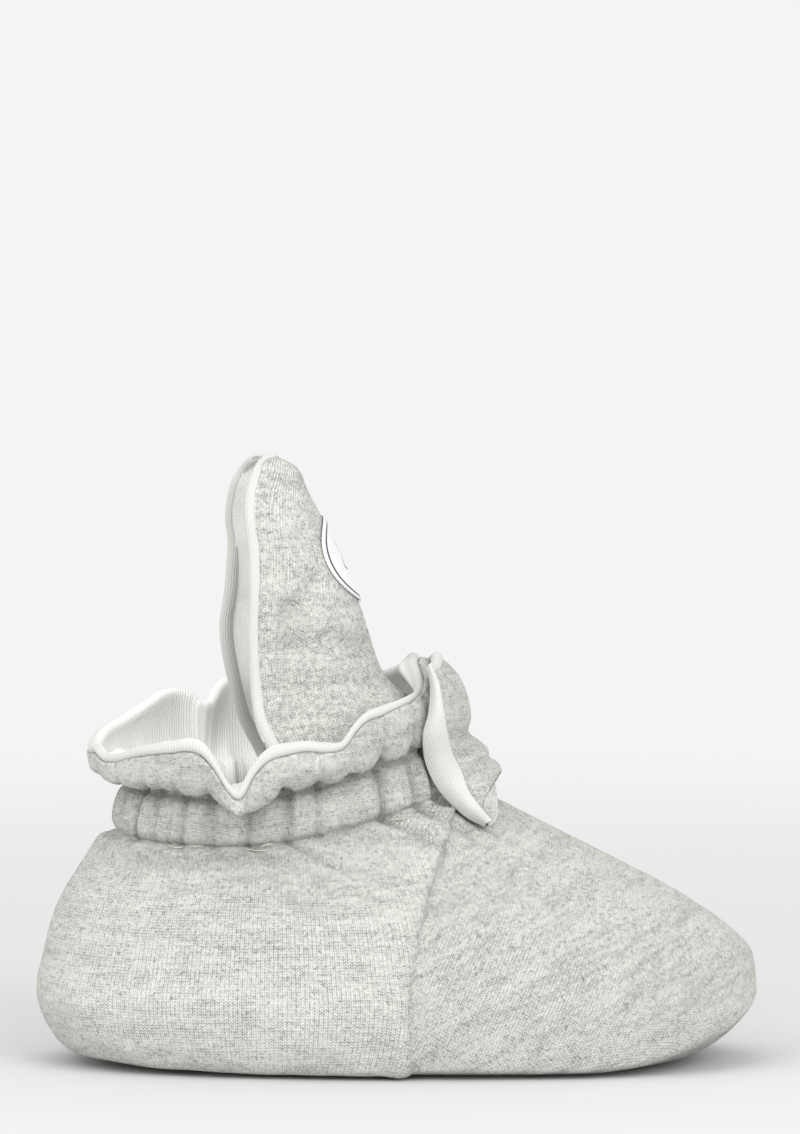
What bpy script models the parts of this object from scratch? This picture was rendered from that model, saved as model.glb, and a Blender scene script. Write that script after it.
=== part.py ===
"""A soft baby bootie of lined double knit, right foot by its lap: sole, insole, upper, tongue, flap, badge.

Metres, +Z up. The toe points to +X, the lap opens on the -Y side, and the origin is on the floor
under the middle of the shoe. Angles go round the ankle from the heel (0), along the -Y side (90),
over the toe or the front of the ankle (180) and back along the +Y side (270).
"""
import math
from collections import namedtuple

import bmesh
import bpy
from mathutils import Vector

# Overall sizes of the last
LENGTH = 0.1220
BALL_WIDTH = 0.0600
HEEL_WIDTH = 0.0530
TOE_SWING = 0.0020
SWING_FROM_SHARE = -0.10
HEEL_HEIGHT = 0.0400
SIDE_HEIGHT = 0.0385
INSTEP_HEIGHT = 0.0472

# Ankle opening: the lower stitch line of the elastic casing, and the casing itself
ANKLE_FROM_HEEL = 0.0110
ANKLE_LENGTH = 0.0620
ANKLE_WIDTH = 0.0420
ANKLE_RISE_FROM = 72.0
ANKLE_RISE_TO = 170.0
CASING_HEIGHT = 0.0080
CASING_LEAN = 0.0022
CASING_SIDE_LEAN = 0.0013
CASING_PUFF = 0.0007
GATHER_DEPTH = 0.0009
GATHER_FROM_SHARE = 0.85
RUFFLE_HEIGHT = 0.0105
RUFFLE_FULL_OUT = 1.3
RUFFLE_FULL_CROWN = 1.2

# Cloth
WALL = 0.0022
RUFFLE_WALL = 0.0017
SEAM_STEP = 0.0007
SEAM_WIDTH = 0.0005
GAP = 0.0003
SOLE_THICKNESS = 0.0030
SOLE_FLAT_SHARE = 0.58
SOLE_CURL = 3.6
INSOLE_THICKNESS = 0.0018
INSOLE_SHARE = 0.90
LAP_RISE_SHARE = 0.10
KNIT_COLOUR = (0.62, 0.64, 0.60)
SOLE_COLOUR = (0.58, 0.60, 0.56)
LINING_COLOUR = (0.78, 0.79, 0.76)
BADGE_COLOUR = (0.85, 0.86, 0.85)
CLOTH_ROUGHNESS = 0.95
BADGE_ROUGHNESS = 0.80

# Tongue
TONGUE_THICKNESS = 0.0024
TONGUE_TOP = 0.1024
TONGUE_TURN = 8.0
TONGUE_CLEARANCE = 0.0005
TONGUE_SEAT_LOW_SHARE = 1.1
TONGUE_SEAT_UP_SHARE = 0.13
TONGUE_FREE_FROM_SHARE = 0.09
TONGUE_FREE_UP_SHARE = 0.34
TONGUE_TIP_THINNING = 0.45

# Flap over the front of the ankle, and the patch on the tongue
FLAP_THICKNESS = 0.0024
FLAP_BUMP = 0.0010
FLAP_FLARE = 0.0026
FLAP_FAR_END = 216.0
FLAP_LOW_NEAR_SHARE = 0.89
FLAP_LOW_FRONT_SHARE = 0.955
FLAP_HIGH_SHARE = 2.62
FLAP_SEAT = 0.0004
FLAP_FLARE_SHARE = 0.35
FLAP_MARGIN = 8.0
FLAP_EASE = 17.0
BADGE_WIDTH = 0.0180
BADGE_HEIGHT = 0.0145
BADGE_THICKNESS = 0.0006
BADGE_UP_SHARE = 0.704

# How finely the cloth is faceted
QUARTER_COLUMNS = 30
VAMP_COLUMNS = 14
SOLE_COLUMNS = 48
BADGE_COLUMNS = 24

# Levels of the last from the sole seam up to the ankle. The x columns are shares of LENGTH from its
# middle, the half columns are shares of HEEL_WIDTH and BALL_WIDTH, and the z columns are shares of
# HEEL_HEIGHT, SIDE_HEIGHT and INSTEP_HEIGHT. rise_from is the angle where the toe starts to rise.
Level = namedtuple("Level", "v heel_x toe_x heel_half ball_half heel_z side_z toe_z rise_from blunt")
LEVELS = (
    Level(0.00, -0.425, 0.496, 0.395, 0.410, 0.030, 0.020, 0.215, 118.0, 2.5),
    Level(0.07, -0.468, 0.499, 0.460, 0.462, 0.085, 0.055, 0.240, 118.0, 2.5),
    Level(0.20, -0.500, 0.500, 0.500, 0.500, 0.275, 0.280, 0.275, 110.0, 2.5),
    Level(0.34, -0.494, 0.489, 0.490, 0.480, 0.440, 0.450, 0.410, 100.0, 2.4),
    Level(0.55, -0.473, 0.410, 0.460, 0.440, 0.670, 0.680, 0.575, 95.0, 2.3),
    Level(0.78, -0.440, 0.279, 0.420, 0.380, 0.865, 0.870, 0.758, 85.0, 2.15),
)
ANKLE_BLUNT = 2.1

# Where the quarter's front edge crosses each level, as a share of LENGTH from its middle
SeamPoint = namedtuple("SeamPoint", "v x")
SIDE_SEAM = (
    SeamPoint(0.00, 0.025),
    SeamPoint(0.20, 0.018),
    SeamPoint(0.34, 0.024),
    SeamPoint(0.55, 0.038),
    SeamPoint(0.78, 0.057),
    SeamPoint(1.00, 0.088),
)

# The free near end of the flap: its angle at each share of the way up the end
FlapEnd = namedtuple("FlapEnd", "up angle")
FLAP_END = (
    FlapEnd(0.00, 145.0),
    FlapEnd(0.10, 141.0),
    FlapEnd(0.25, 138.5),
    FlapEnd(0.45, 137.0),
    FlapEnd(0.70, 137.0),
    FlapEnd(0.85, 141.0),
    FlapEnd(1.00, 150.0),
)
FLAP_NEAR_END = min(row.angle for row in FLAP_END)

# Folds of the ruffle round the ankle. Lengths are shares of RUFFLE_HEIGHT, out from the casing's top
# stitches and up from them: the belly below, the crown above it and the free edge.
Fold = namedtuple("Fold", "angle belly_out belly_up crown_out crown_up edge_out edge_up")
FOLDS = (
    Fold(0.0, 0.55, -0.08, 0.50, 0.36, 0.38, 0.55),
    Fold(18.0, 0.56, -0.10, 0.52, 0.25, 0.42, 0.44),
    Fold(35.0, 0.60, -0.06, 0.55, 0.48, 0.42, 0.80),
    Fold(50.0, 0.62, 0.00, 0.60, 0.62, 0.45, 0.98),
    Fold(61.0, 0.60, -0.05, 0.60, 0.58, 0.50, 0.97),
    Fold(68.0, 0.62, -0.16, 0.64, 0.26, 0.55, 0.60),
    Fold(74.5, 0.64, -0.30, 0.68, 0.00, 0.60, 0.26),
    Fold(81.0, 0.62, -0.18, 0.62, 0.34, 0.52, 0.70),
    Fold(92.0, 0.58, 0.02, 0.55, 0.58, 0.42, 0.92),
    Fold(104.0, 0.54, 0.06, 0.48, 0.56, 0.34, 0.84),
    Fold(113.0, 0.48, 0.04, 0.40, 0.74, 0.22, 0.94),
    Fold(121.0, 0.40, 0.02, 0.34, 0.90, 0.08, 1.10),
    Fold(135.0, 0.30, 0.10, 0.20, 1.08, -0.05, 1.10),
    Fold(150.0, 0.15, 0.20, 0.02, 1.34, -0.36, 1.00),
    Fold(165.0, 0.00, 0.30, -0.06, 1.48, -0.72, 1.02),
    Fold(180.0, -0.05, 0.35, -0.08, 1.52, -0.88, 1.12),
    Fold(197.0, 0.00, 0.30, -0.06, 1.50, -0.72, 1.22),
    Fold(214.0, 0.20, 0.15, 0.05, 1.35, -0.40, 1.35),
    Fold(230.0, 0.38, 0.02, 0.30, 1.05, 0.05, 1.30),
    Fold(245.0, 0.50, 0.05, 0.46, 0.90, 0.34, 1.30),
    Fold(260.0, 0.55, 0.00, 0.50, 0.80, 0.36, 1.20),
    Fold(272.0, 0.60, 0.05, 0.58, 0.95, 0.45, 1.42),
    Fold(285.0, 0.62, 0.02, 0.60, 0.95, 0.52, 1.46),
    Fold(294.0, 0.55, 0.00, 0.50, 0.75, 0.40, 1.15),
    Fold(304.0, 0.62, 0.05, 0.60, 0.92, 0.52, 1.36),
    Fold(318.0, 0.60, 0.00, 0.56, 0.75, 0.46, 1.14),
    Fold(331.0, 0.56, -0.04, 0.52, 0.60, 0.42, 0.92),
    Fold(345.0, 0.55, -0.06, 0.50, 0.48, 0.38, 0.74),
)

# Tongue: where its spine stands and how far it cups back, from inside the ankle's front up to the
# tip. up is the share of the way from the casing to TONGUE_TOP, spine_x a share of LENGTH, and depth
# and half_width shares of ANKLE_LENGTH and ANKLE_WIDTH. cup is the angle that each wing turns through.
TongueRow = namedtuple("TongueRow", "up spine_x depth half_width cup sag")
TONGUE_ROWS = (
    TongueRow(0.00, 0.078, 0.436, 0.428, 95.0, 0.105),
    TongueRow(0.13, 0.064, 0.418, 0.402, 98.0, 0.090),
    TongueRow(0.24, 0.018, 0.372, 0.372, 100.0, 0.050),
    TongueRow(0.34, -0.018, 0.318, 0.345, 100.0, 0.020),
    TongueRow(0.47, -0.039, 0.286, 0.330, 100.0, 0.000),
    TongueRow(0.57, -0.054, 0.256, 0.320, 100.0, 0.000),
    TongueRow(0.66, -0.072, 0.227, 0.300, 99.0, 0.000),
    TongueRow(0.74, -0.089, 0.201, 0.280, 98.0, 0.000),
    TongueRow(0.81, -0.107, 0.176, 0.255, 96.0, 0.000),
    TongueRow(0.90, -0.132, 0.129, 0.205, 92.0, 0.000),
    TongueRow(0.955, -0.144, 0.101, 0.160, 88.0, 0.000),
    TongueRow(0.985, -0.157, 0.079, 0.115, 84.0, 0.000),
    TongueRow(1.00, -0.170, 0.050, 0.062, 80.0, 0.000),
)
TONGUE_BASE = 0.0470


def smooth(low, high, value):
    """0 below low, 1 above high, with a soft ramp between."""
    share = min(1.0, max(0.0, (value - low) / (high - low)))
    return share * share * (3.0 - 2.0 * share)


def along(rows, key, column, value, period=None):
    """Read one column of a table at a value of its key, on a smooth curve through its rows."""
    keys = [getattr(row, key) for row in rows]
    data = [getattr(row, column) for row in rows]
    if period:
        value = value % period
        keys = [keys[-1] - period] + keys + [keys[0] + period, keys[1] + period]
        data = [data[-1]] + data + [data[0], data[1]]
    return curve_through(keys, data, value)


def curve_through(keys, data, value):
    """A smooth curve through numbers or vectors that are given at rising keys."""
    last = len(keys) - 1
    value = min(keys[last], max(keys[0], value))
    i = 0
    while i < last - 1 and value > keys[i + 1]:
        i += 1

    def slope(k):
        before, after = max(0, k - 1), min(last, k + 1)
        return (data[after] - data[before]) / (keys[after] - keys[before])

    span = keys[i + 1] - keys[i]
    t = (value - keys[i]) / span
    t2, t3 = t * t, t * t * t
    start, end = data[i] * (2 * t3 - 3 * t2 + 1), data[i + 1] * (3 * t2 - 2 * t3)
    return start + end + slope(i) * (span * (t3 - 2 * t2 + t)) + slope(i + 1) * (span * (t3 - t2))


def turn_of(angle):
    """The angle folded to 0 at the heel and 180 at the toe, and the side: -1 for -Y, 1 for +Y."""
    angle = angle % 360.0
    if angle > 180.0:
        return 360.0 - angle, 1.0
    return angle, -1.0


def egg(angle, heel_x, toe_x, heel_half, toe_half, blunt):
    """A point of a level outline that is as wide as heel_half behind and toe_half in front."""
    turn, side = turn_of(angle)
    cosine = math.cos(math.radians(turn))
    x = 0.5 * (heel_x + toe_x) - 0.5 * (toe_x - heel_x) * cosine
    half = heel_half + (toe_half - heel_half) * smooth(0.0, 1.0, 0.5 - 0.5 * cosine)
    y = side * half * max(0.0, 1.0 - abs(cosine) ** blunt) ** (1.0 / blunt)
    return x, y


def swing(x):
    """How far the middle line bends to the inner side of the foot at x."""
    bend = max(0.0, x / LENGTH - SWING_FROM_SHARE) / (0.5 - SWING_FROM_SHARE)
    return TOE_SWING * bend * bend


def level_point(level, angle):
    """A point of one level of the last."""
    turn = turn_of(angle)[0]
    x, y = egg(angle, level.heel_x * LENGTH + SEAM_STEP, level.toe_x * LENGTH,
               level.heel_half * HEEL_WIDTH, level.ball_half * BALL_WIDTH, level.blunt)
    side_z = level.side_z * SIDE_HEIGHT
    z = side_z + (level.heel_z * HEEL_HEIGHT - side_z) * smooth(70.0, 0.0, turn)
    z += (level.toe_z * INSTEP_HEIGHT - side_z) * smooth(level.rise_from, 180.0, turn)
    return Vector((x, y + swing(x), z))


def ankle_point(angle, up):
    """A point of the ankle ring: up is 0 at the lower stitches and 1 at the casing's top stitches."""
    turn = turn_of(angle)[0]
    heel_x = -0.5 * LENGTH + ANKLE_FROM_HEEL + CASING_LEAN * up
    toe_x = -0.5 * LENGTH + ANKLE_FROM_HEEL + ANKLE_LENGTH - CASING_LEAN * up
    half = 0.5 * ANKLE_WIDTH - CASING_SIDE_LEAN * up
    x, y = egg(angle, heel_x, toe_x, half, half, ANKLE_BLUNT)
    z = SIDE_HEIGHT + (HEEL_HEIGHT - SIDE_HEIGHT) * smooth(70.0, 0.0, turn)
    z += (INSTEP_HEIGHT - SIDE_HEIGHT) * smooth(ANKLE_RISE_FROM, ANKLE_RISE_TO, turn)
    return Vector((x, y + swing(x), z + CASING_HEIGHT * up))


def ankle_outward(angle):
    """The level direction that points out of the ankle ring."""
    along_ring = ankle_point(angle + 1.0, 1.0) - ankle_point(angle - 1.0, 1.0)
    return Vector((-along_ring.y, along_ring.x, 0.0)).normalized() * -1.0


def ruffle_point(angle, up):
    """A point of the ruffle: up is 0 at the casing's top stitches and 1 at the free edge."""
    fold = {name: along(FOLDS, "angle", name, angle, 360.0) * RUFFLE_HEIGHT for name in Fold._fields[1:]}
    rest = 1.0 - up
    out = 3 * rest * rest * up * fold["belly_out"] * RUFFLE_FULL_OUT
    out += 3 * rest * up * up * fold["crown_out"] * RUFFLE_FULL_CROWN
    out += up ** 3 * fold["edge_out"]
    rise = 3 * rest * rest * up * fold["belly_up"] + 3 * rest * up * up * fold["crown_up"]
    rise += up ** 3 * fold["edge_up"]
    return ankle_point(angle, 1.0) + ankle_outward(angle) * out + Vector((0.0, 0.0, rise))


def shell_point(angle, w):
    """The smooth outside of the upper: w 0 to 1 is the foot, 1 to 2 the casing, 2 to 3 the ruffle."""
    if w <= 1.0:
        keys = [level.v for level in LEVELS] + [1.0, 1.2]
        data = [level_point(level, angle) for level in LEVELS]
        data += [ankle_point(angle, 0.0), ankle_point(angle, 0.5)]
        return curve_through(keys, data, w)
    if w <= 2.0:
        return ankle_point(angle, w - 1.0)
    return ruffle_point(angle, w - 2.0)


def shell_normal(angle, w):
    """The direction out of the cloth at a point of the upper."""
    step = 0.02
    low = max(0.0, w - step)
    high = min(3.0, w + step)
    around = shell_point(angle + 1.0, w) - shell_point(angle - 1.0, w)
    upward = shell_point(angle, high) - shell_point(angle, low)
    return around.cross(upward).normalized()


def side_seam_angle(w):
    """The angle of the quarter's front edge at a height of the upper, found by halving."""
    target = along(SIDE_SEAM, "v", "x", min(1.0, w)) * LENGTH
    low, high = 40.0, 178.0
    for _ in range(30):
        middle = 0.5 * (low + high)
        if shell_point(middle, min(1.0, w)).x < target:
            low = middle
        else:
            high = middle
    return low


def columns(w):
    """The angles of the upper's columns at one height, each with 1 on the quarter or 0 on the vamp."""
    seam = side_seam_angle(w)
    width = math.degrees(SEAM_WIDTH / (0.5 * ANKLE_LENGTH))
    near = [(seam * i / QUARTER_COLUMNS, 1.0) for i in range(QUARTER_COLUMNS + 1)]
    start = seam + width
    near += [(start + (180.0 - start) * i / VAMP_COLUMNS, 0.0) for i in range(VAMP_COLUMNS + 1)]
    far = [(360.0 - angle, quarter) for angle, quarter in reversed(near[1:-1])]
    return near + far


def outside_lift(index, angle, quarter, w):
    """How far the cloth stands out of the smooth shell: the lap of the quarter, puff and gathers."""
    lift = SEAM_STEP * quarter * smooth(0.0, LAP_RISE_SHARE, w)
    near, far = FLAP_NEAR_END - FLAP_MARGIN, FLAP_FAR_END + FLAP_MARGIN
    clear = 1.0 - smooth(near - FLAP_EASE, near, angle) * (1.0 - smooth(far, far + FLAP_EASE, angle))
    if 1.0 < w < 2.0:
        lift += CASING_PUFF * clear * (1.0 - (2.0 * w - 3.0) ** 2)
    if index % 2 and GATHER_FROM_SHARE < w < 2.2:
        lift += GATHER_DEPTH * quarter * clear * smooth(GATHER_FROM_SHARE, 1.1, w)
    return lift


def upper_loop(w, inner):
    """One closed loop of the upper's grid, on the outside or on the lining."""
    loop = []
    for index, (angle, quarter) in enumerate(columns(w)):
        point = shell_point(angle, w)
        wall = WALL + (RUFFLE_WALL - WALL) * smooth(2.0, 2.3, w)
        depth = -wall if inner else outside_lift(index, angle, quarter, w)
        loop.append(point + shell_normal(angle, w) * depth)
    return loop


def make_solid(name, loops, closed, colour, roughness):
    """Skin closed loops into one closed body: joined round to the first loop, or capped at both ends."""
    mesh = bmesh.new()
    rows = [[mesh.verts.new(point) for point in loop] for loop in loops]
    pairs = list(zip(rows, rows[1:]))
    if closed:
        pairs.append((rows[-1], rows[0]))
    for low, high in pairs:
        for i in range(len(low)):
            j = (i + 1) % len(low)
            mesh.faces.new((low[i], low[j], high[j], high[i]))
    if not closed:
        mesh.faces.new(list(reversed(rows[0])))
        mesh.faces.new(rows[-1])
    bmesh.ops.triangulate(mesh, faces=mesh.faces[:], quad_method="SHORT_EDGE")
    if mesh.calc_volume(signed=True) < 0.0:
        bmesh.ops.reverse_faces(mesh, faces=mesh.faces[:])
    data = bpy.data.meshes.new(name)
    mesh.to_mesh(data)
    mesh.free()
    data.shade_smooth()
    data.set_sharp_from_angle(angle=math.radians(50.0))
    part = bpy.data.objects.new(name, data)
    bpy.context.scene.collection.objects.link(part)
    data.materials.append(cloth(name, colour, roughness))
    return part


def cloth(name, colour, roughness):
    """A plain cloth finish."""
    material = bpy.data.materials.new(name)
    material.use_nodes = True
    shader = material.node_tree.nodes["Principled BSDF"]
    shader.inputs["Base Color"].default_value = (*colour, 1.0)
    shader.inputs["Roughness"].default_value = roughness
    shader.inputs["Metallic"].default_value = 0.0
    return material


def make_upper():
    """Vamp, quarter, casing and ruffle as one hollow wall, open at the ankle and underneath."""
    foot = (0.0, 0.035, 0.07, 0.13, 0.20, 0.27, 0.34, 0.45, 0.55, 0.67, 0.78, 0.90, 1.0)
    casing = (1.25, 1.5, 1.75, 2.0)
    ruffle = (2.15, 2.32, 2.5, 2.68, 2.85, 3.0)
    lining = (3.0, 2.82, 2.62, 2.42, 2.2, 2.0, 1.5, 1.0, 0.89, 0.78, 0.66, 0.55, 0.45, 0.34, 0.27, 0.20,
              0.13, 0.07, 0.0)
    loops = [upper_loop(w, False) for w in foot + casing + ruffle]
    loops += [upper_loop(w, True) for w in lining]
    return make_solid("upper", loops, True, KNIT_COLOUR, CLOTH_ROUGHNESS)


def seam_edge(angle, inner):
    """A corner of the sole's rim, one gap away from the upper's lower edge."""
    down = (shell_point(angle, 0.0) - shell_point(angle, 0.02)).normalized()
    point = shell_point(angle, 0.0) + down * GAP
    if inner:
        point -= shell_normal(angle, 0.0) * WALL
    return point


def sole_point(angle, share, top):
    """A point of the sole: share is 0 in the middle and 1 at the rim."""
    rim = seam_edge(angle, top)
    flat = SOLE_THICKNESS if top else 0.0
    curl = (max(0.0, share - SOLE_FLAT_SHARE) / (1.0 - SOLE_FLAT_SHARE)) ** SOLE_CURL
    return Vector((rim.x * share, rim.y * share, flat + (rim.z - flat) * curl))


def ring(count):
    """Evenly spaced angles once round."""
    return [360.0 * i / count for i in range(count)]


def make_sole():
    """The padded sole, flat under heel and ball, turned up at the toe to meet the upper's edge."""
    shares = (0.12, 0.35, 0.58, 0.70, 0.80, 0.88, 0.94, 0.98, 1.0)
    loops = [[sole_point(angle, share, False) for angle in ring(SOLE_COLUMNS)] for share in shares]
    loops += [[sole_point(angle, share, True) for angle in ring(SOLE_COLUMNS)] for share in reversed(shares)]
    return make_solid("sole", loops, False, SOLE_COLOUR, CLOTH_ROUGHNESS)


def make_insole():
    """The pad that lies on the sole inside the upper."""
    shares = (0.12, 0.35, 0.60, 0.75, INSOLE_SHARE)
    raised = Vector((0.0, 0.0, GAP))
    top = Vector((0.0, 0.0, GAP + INSOLE_THICKNESS))
    loops = [[sole_point(angle, share, True) + raised for angle in ring(SOLE_COLUMNS)] for share in shares]
    loops += [[sole_point(angle, share, True) + top for angle in ring(SOLE_COLUMNS)]
              for share in reversed(shares)]
    return make_solid("insole", loops, False, LINING_COLOUR, CLOTH_ROUGHNESS)


def seat_point(angle, up):
    """Where the tongue lies against the lining of the casing, and straight up from there."""
    w = min(2.0, TONGUE_SEAT_LOW_SHARE + up * (2.0 - TONGUE_SEAT_LOW_SHARE) / TONGUE_SEAT_UP_SHARE)
    seat = shell_point(angle, w) - shell_normal(angle, w) * (WALL + TONGUE_CLEARANCE)
    above = max(0.0, up - TONGUE_SEAT_UP_SHARE) * (TONGUE_TOP - TONGUE_BASE)
    return seat + Vector((0.0, 0.0, above))


def tongue_point(across, up, depth):
    """A point of the tongue: across is -1 at the near edge and 1 at the far edge, depth is inwards."""
    row = {name: along(TONGUE_ROWS, "up", name, up) for name in TongueRow._fields[1:]}
    degrees = row["cup"] * across + TONGUE_TURN * smooth(0.1, 0.5, up) * (1.0 + across)
    turn = math.radians(degrees)
    back = row["depth"] * ANKLE_LENGTH
    half = row["half_width"] * ANKLE_WIDTH
    x = row["spine_x"] * LENGTH - back * (1.0 - math.cos(turn))
    y = half * math.sin(turn)
    z = TONGUE_BASE + (TONGUE_TOP - TONGUE_BASE) * up - row["sag"] * ANKLE_LENGTH * (1.0 - math.cos(turn))
    free = smooth(TONGUE_FREE_FROM_SHARE, TONGUE_FREE_UP_SHARE, up)
    point = Vector((x, y + swing(x), z))
    if free < 1.0:
        point = point * free + seat_point(180.0 + degrees, up) * (1.0 - free)
    inward = Vector((-math.cos(turn) * half, -math.sin(turn) * back, 0.0)).normalized()
    return point + inward * depth


def make_tongue():
    """The cupped tongue, a sheet of even thickness that stands in the front of the ankle."""
    ups = (0.0, 0.07, 0.14, 0.22, 0.30, 0.38, 0.48, 0.58, 0.68, 0.77, 0.85, 0.91, 0.955, 0.985, 1.0)
    steps = [i / 11.0 for i in range(-11, 12)]
    loops = []
    for up in ups:
        outer = [tongue_point(across, up, 0.0) for across in steps]
        thick = TONGUE_THICKNESS * (1.0 - TONGUE_TIP_THINNING * smooth(0.90, 1.0, up))
        inner = [tongue_point(across, up, thick) for across in reversed(steps)]
        loops.append(outer + inner)
    return make_solid("tongue", loops, False, KNIT_COLOUR, CLOTH_ROUGHNESS)


def flap_height(share, up):
    """The height on the upper of a point of the flap: up is 0 at its lower edge and 1 at its top."""
    rise = FLAP_LOW_FRONT_SHARE - FLAP_LOW_NEAR_SHARE
    low = FLAP_LOW_NEAR_SHARE + rise * smooth(0.0, FLAP_FLARE_SHARE, share)
    return low + (FLAP_HIGH_SHARE - low) * up


def flap_point(share, up, lift):
    """A point of the flap: share is 0 at its free near end and 1 at its far end."""
    w = flap_height(share, up)
    near_end = along(FLAP_END, "up", "angle", up)
    angle = near_end + (FLAP_FAR_END - near_end) * share
    flare = FLAP_FLARE * smooth(FLAP_FLARE_SHARE, 0.0, share) * smooth(0.0, 0.25, up) * smooth(1.1, 0.7, up)
    bumps = FLAP_BUMP * abs(math.sin(math.pi * (w - 1.0))) if lift else 0.0
    offset = GAP + SEAM_STEP + FLAP_SEAT + flare + lift + bumps
    return shell_point(angle, w) + shell_normal(angle, w) * offset


def make_flap():
    """The far side's front end, wrapped over the front of the ankle with its free end flared out."""
    shares = [i / 13.0 for i in range(14)]
    loops = []
    for up in [i / 13.0 for i in range(14)]:
        outer = [flap_point(share, up, FLAP_THICKNESS) for share in shares]
        inner = [flap_point(share, up, 0.0) for share in reversed(shares)]
        loops.append(outer + inner)
    return make_solid("wrap_flap", loops, False, KNIT_COLOUR, CLOTH_ROUGHNESS)


def make_badge():
    """The plain oval patch on the front of the tongue."""
    row = {name: along(TONGUE_ROWS, "up", name, BADGE_UP_SHARE) for name in TongueRow._fields[1:]}
    reach = math.radians(row["cup"]) * row["half_width"] * ANKLE_WIDTH
    half_across = 0.5 * BADGE_WIDTH / reach
    half_up = 0.5 * BADGE_HEIGHT / (TONGUE_TOP - TONGUE_BASE)
    loops = []
    outside = GAP + BADGE_THICKNESS
    for share, depth in ((0.3, GAP), (0.7, GAP), (1.0, GAP), (1.0, outside), (0.7, outside), (0.3, outside)):
        loop = []
        for angle in ring(BADGE_COLUMNS):
            across = half_across * share * math.cos(math.radians(angle))
            up = BADGE_UP_SHARE + half_up * share * math.sin(math.radians(angle))
            loop.append(tongue_point(across, up, -depth))
        loops.append(loop)
    return make_solid("badge", loops, False, BADGE_COLOUR, BADGE_ROUGHNESS)


def main():
    """Clear the scene and make each piece."""
    for thing in list(bpy.data.objects):
        bpy.data.objects.remove(thing, do_unlink=True)
    for make in (make_sole, make_insole, make_upper, make_tongue, make_flap, make_badge):
        part = make()
        print(part.name, len(part.data.polygons), "triangles")


main()
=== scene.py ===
# %% [markdown]
# # A soft baby bootie in lined knit
#
# This lesson dresses a plain, faceted model of a baby's bootie as the real thing: pale grey heather
# knit outside, white ribbed knit inside, a gathered elastic ankle with a ruffle, a tall cupped tongue
# and a flap that wraps over the front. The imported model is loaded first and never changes. Each soft
# piece is then made again with fine cloth, in the same place and at the same size.

# %% Load the fixed frame
import math
from collections import namedtuple

import bmesh
import bpy
import numpy as np
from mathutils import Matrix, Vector


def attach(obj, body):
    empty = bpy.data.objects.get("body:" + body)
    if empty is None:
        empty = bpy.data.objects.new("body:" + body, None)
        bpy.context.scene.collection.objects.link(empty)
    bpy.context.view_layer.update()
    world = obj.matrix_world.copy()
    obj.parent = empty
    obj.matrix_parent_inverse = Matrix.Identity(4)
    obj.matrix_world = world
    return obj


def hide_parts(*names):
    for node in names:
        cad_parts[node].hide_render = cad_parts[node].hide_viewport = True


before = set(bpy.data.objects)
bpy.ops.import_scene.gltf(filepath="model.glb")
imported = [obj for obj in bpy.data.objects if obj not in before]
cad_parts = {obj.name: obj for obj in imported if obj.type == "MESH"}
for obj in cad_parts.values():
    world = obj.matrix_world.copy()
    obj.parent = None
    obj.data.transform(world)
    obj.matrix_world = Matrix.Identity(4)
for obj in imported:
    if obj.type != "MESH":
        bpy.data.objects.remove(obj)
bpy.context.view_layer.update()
print("frame:", sorted(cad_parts))

# %% [markdown]
# ## Reading smooth curves
#
# A shoemaker works from a few measured lines and lets the cloth run smoothly between them. The same is
# done here: short tables hold the lines, and one curve function reads between the rows. NumPy works on
# whole arrays, so a hundred thousand points take a moment and not a minute.

# %% Smooth ramps and curves
def smooth(low, high, value):
    """0 below low, 1 above high, with a soft ramp between."""
    share = np.clip((np.asarray(value, float) - low) / (high - low), 0.0, 1.0)
    return share * share * (3.0 - 2.0 * share)


def curve_through(keys, data, value):
    """A smooth curve through numbers, or through one row of points for each value, at rising keys."""
    keys, data = np.asarray(keys, float), np.asarray(data, float)
    value = np.clip(np.asarray(value, float), keys[0], keys[-1])
    k = np.clip(np.searchsorted(keys, value) - 1, 0, len(keys) - 2)
    row = np.arange(len(keys))
    after, before = np.minimum(row + 1, len(keys) - 1), np.maximum(row - 1, 0)
    run = (keys[after] - keys[before]).reshape((-1,) + (1,) * (data.ndim - 1))
    slope = (data[after] - data[before]) / run
    span = keys[k + 1] - keys[k]
    t = (value - keys[k]) / span
    if data.ndim > 1:
        t, span = t[:, None], span[:, None]
        point = np.arange(len(value))
        start, end, leave, arrive = data[k, point], data[k + 1, point], slope[k, point], slope[k + 1, point]
    else:
        start, end, leave, arrive = data[k], data[k + 1], slope[k], slope[k + 1]
    t2, t3 = t * t, t * t * t
    mixed = start * (2 * t3 - 3 * t2 + 1) + end * (3 * t2 - 2 * t3)
    return mixed + leave * span * (t3 - 2 * t2 + t) + arrive * span * (t3 - t2)


def along(rows, key, column, value, period=None):
    """Read one column of a table at values of its key."""
    keys = [getattr(row, key) for row in rows]
    data = [getattr(row, column) for row in rows]
    if period:
        value = np.mod(value, period)
        keys = [keys[-1] - period] + keys + [keys[0] + period, keys[1] + period]
        data = [data[-1]] + data + [data[0], data[1]]
    return curve_through(keys, data, value)


# %% [markdown]
# ## The shape of the last
#
# A last is the form that a shoe is made on. These are the bootie's own sizes in metres, the same as in
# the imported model, so every soft piece lands exactly where its solid stands. Angles go round the ankle:
# 0 is the heel, 90 the side that faces us, 180 the toe and 270 the far side.

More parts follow.
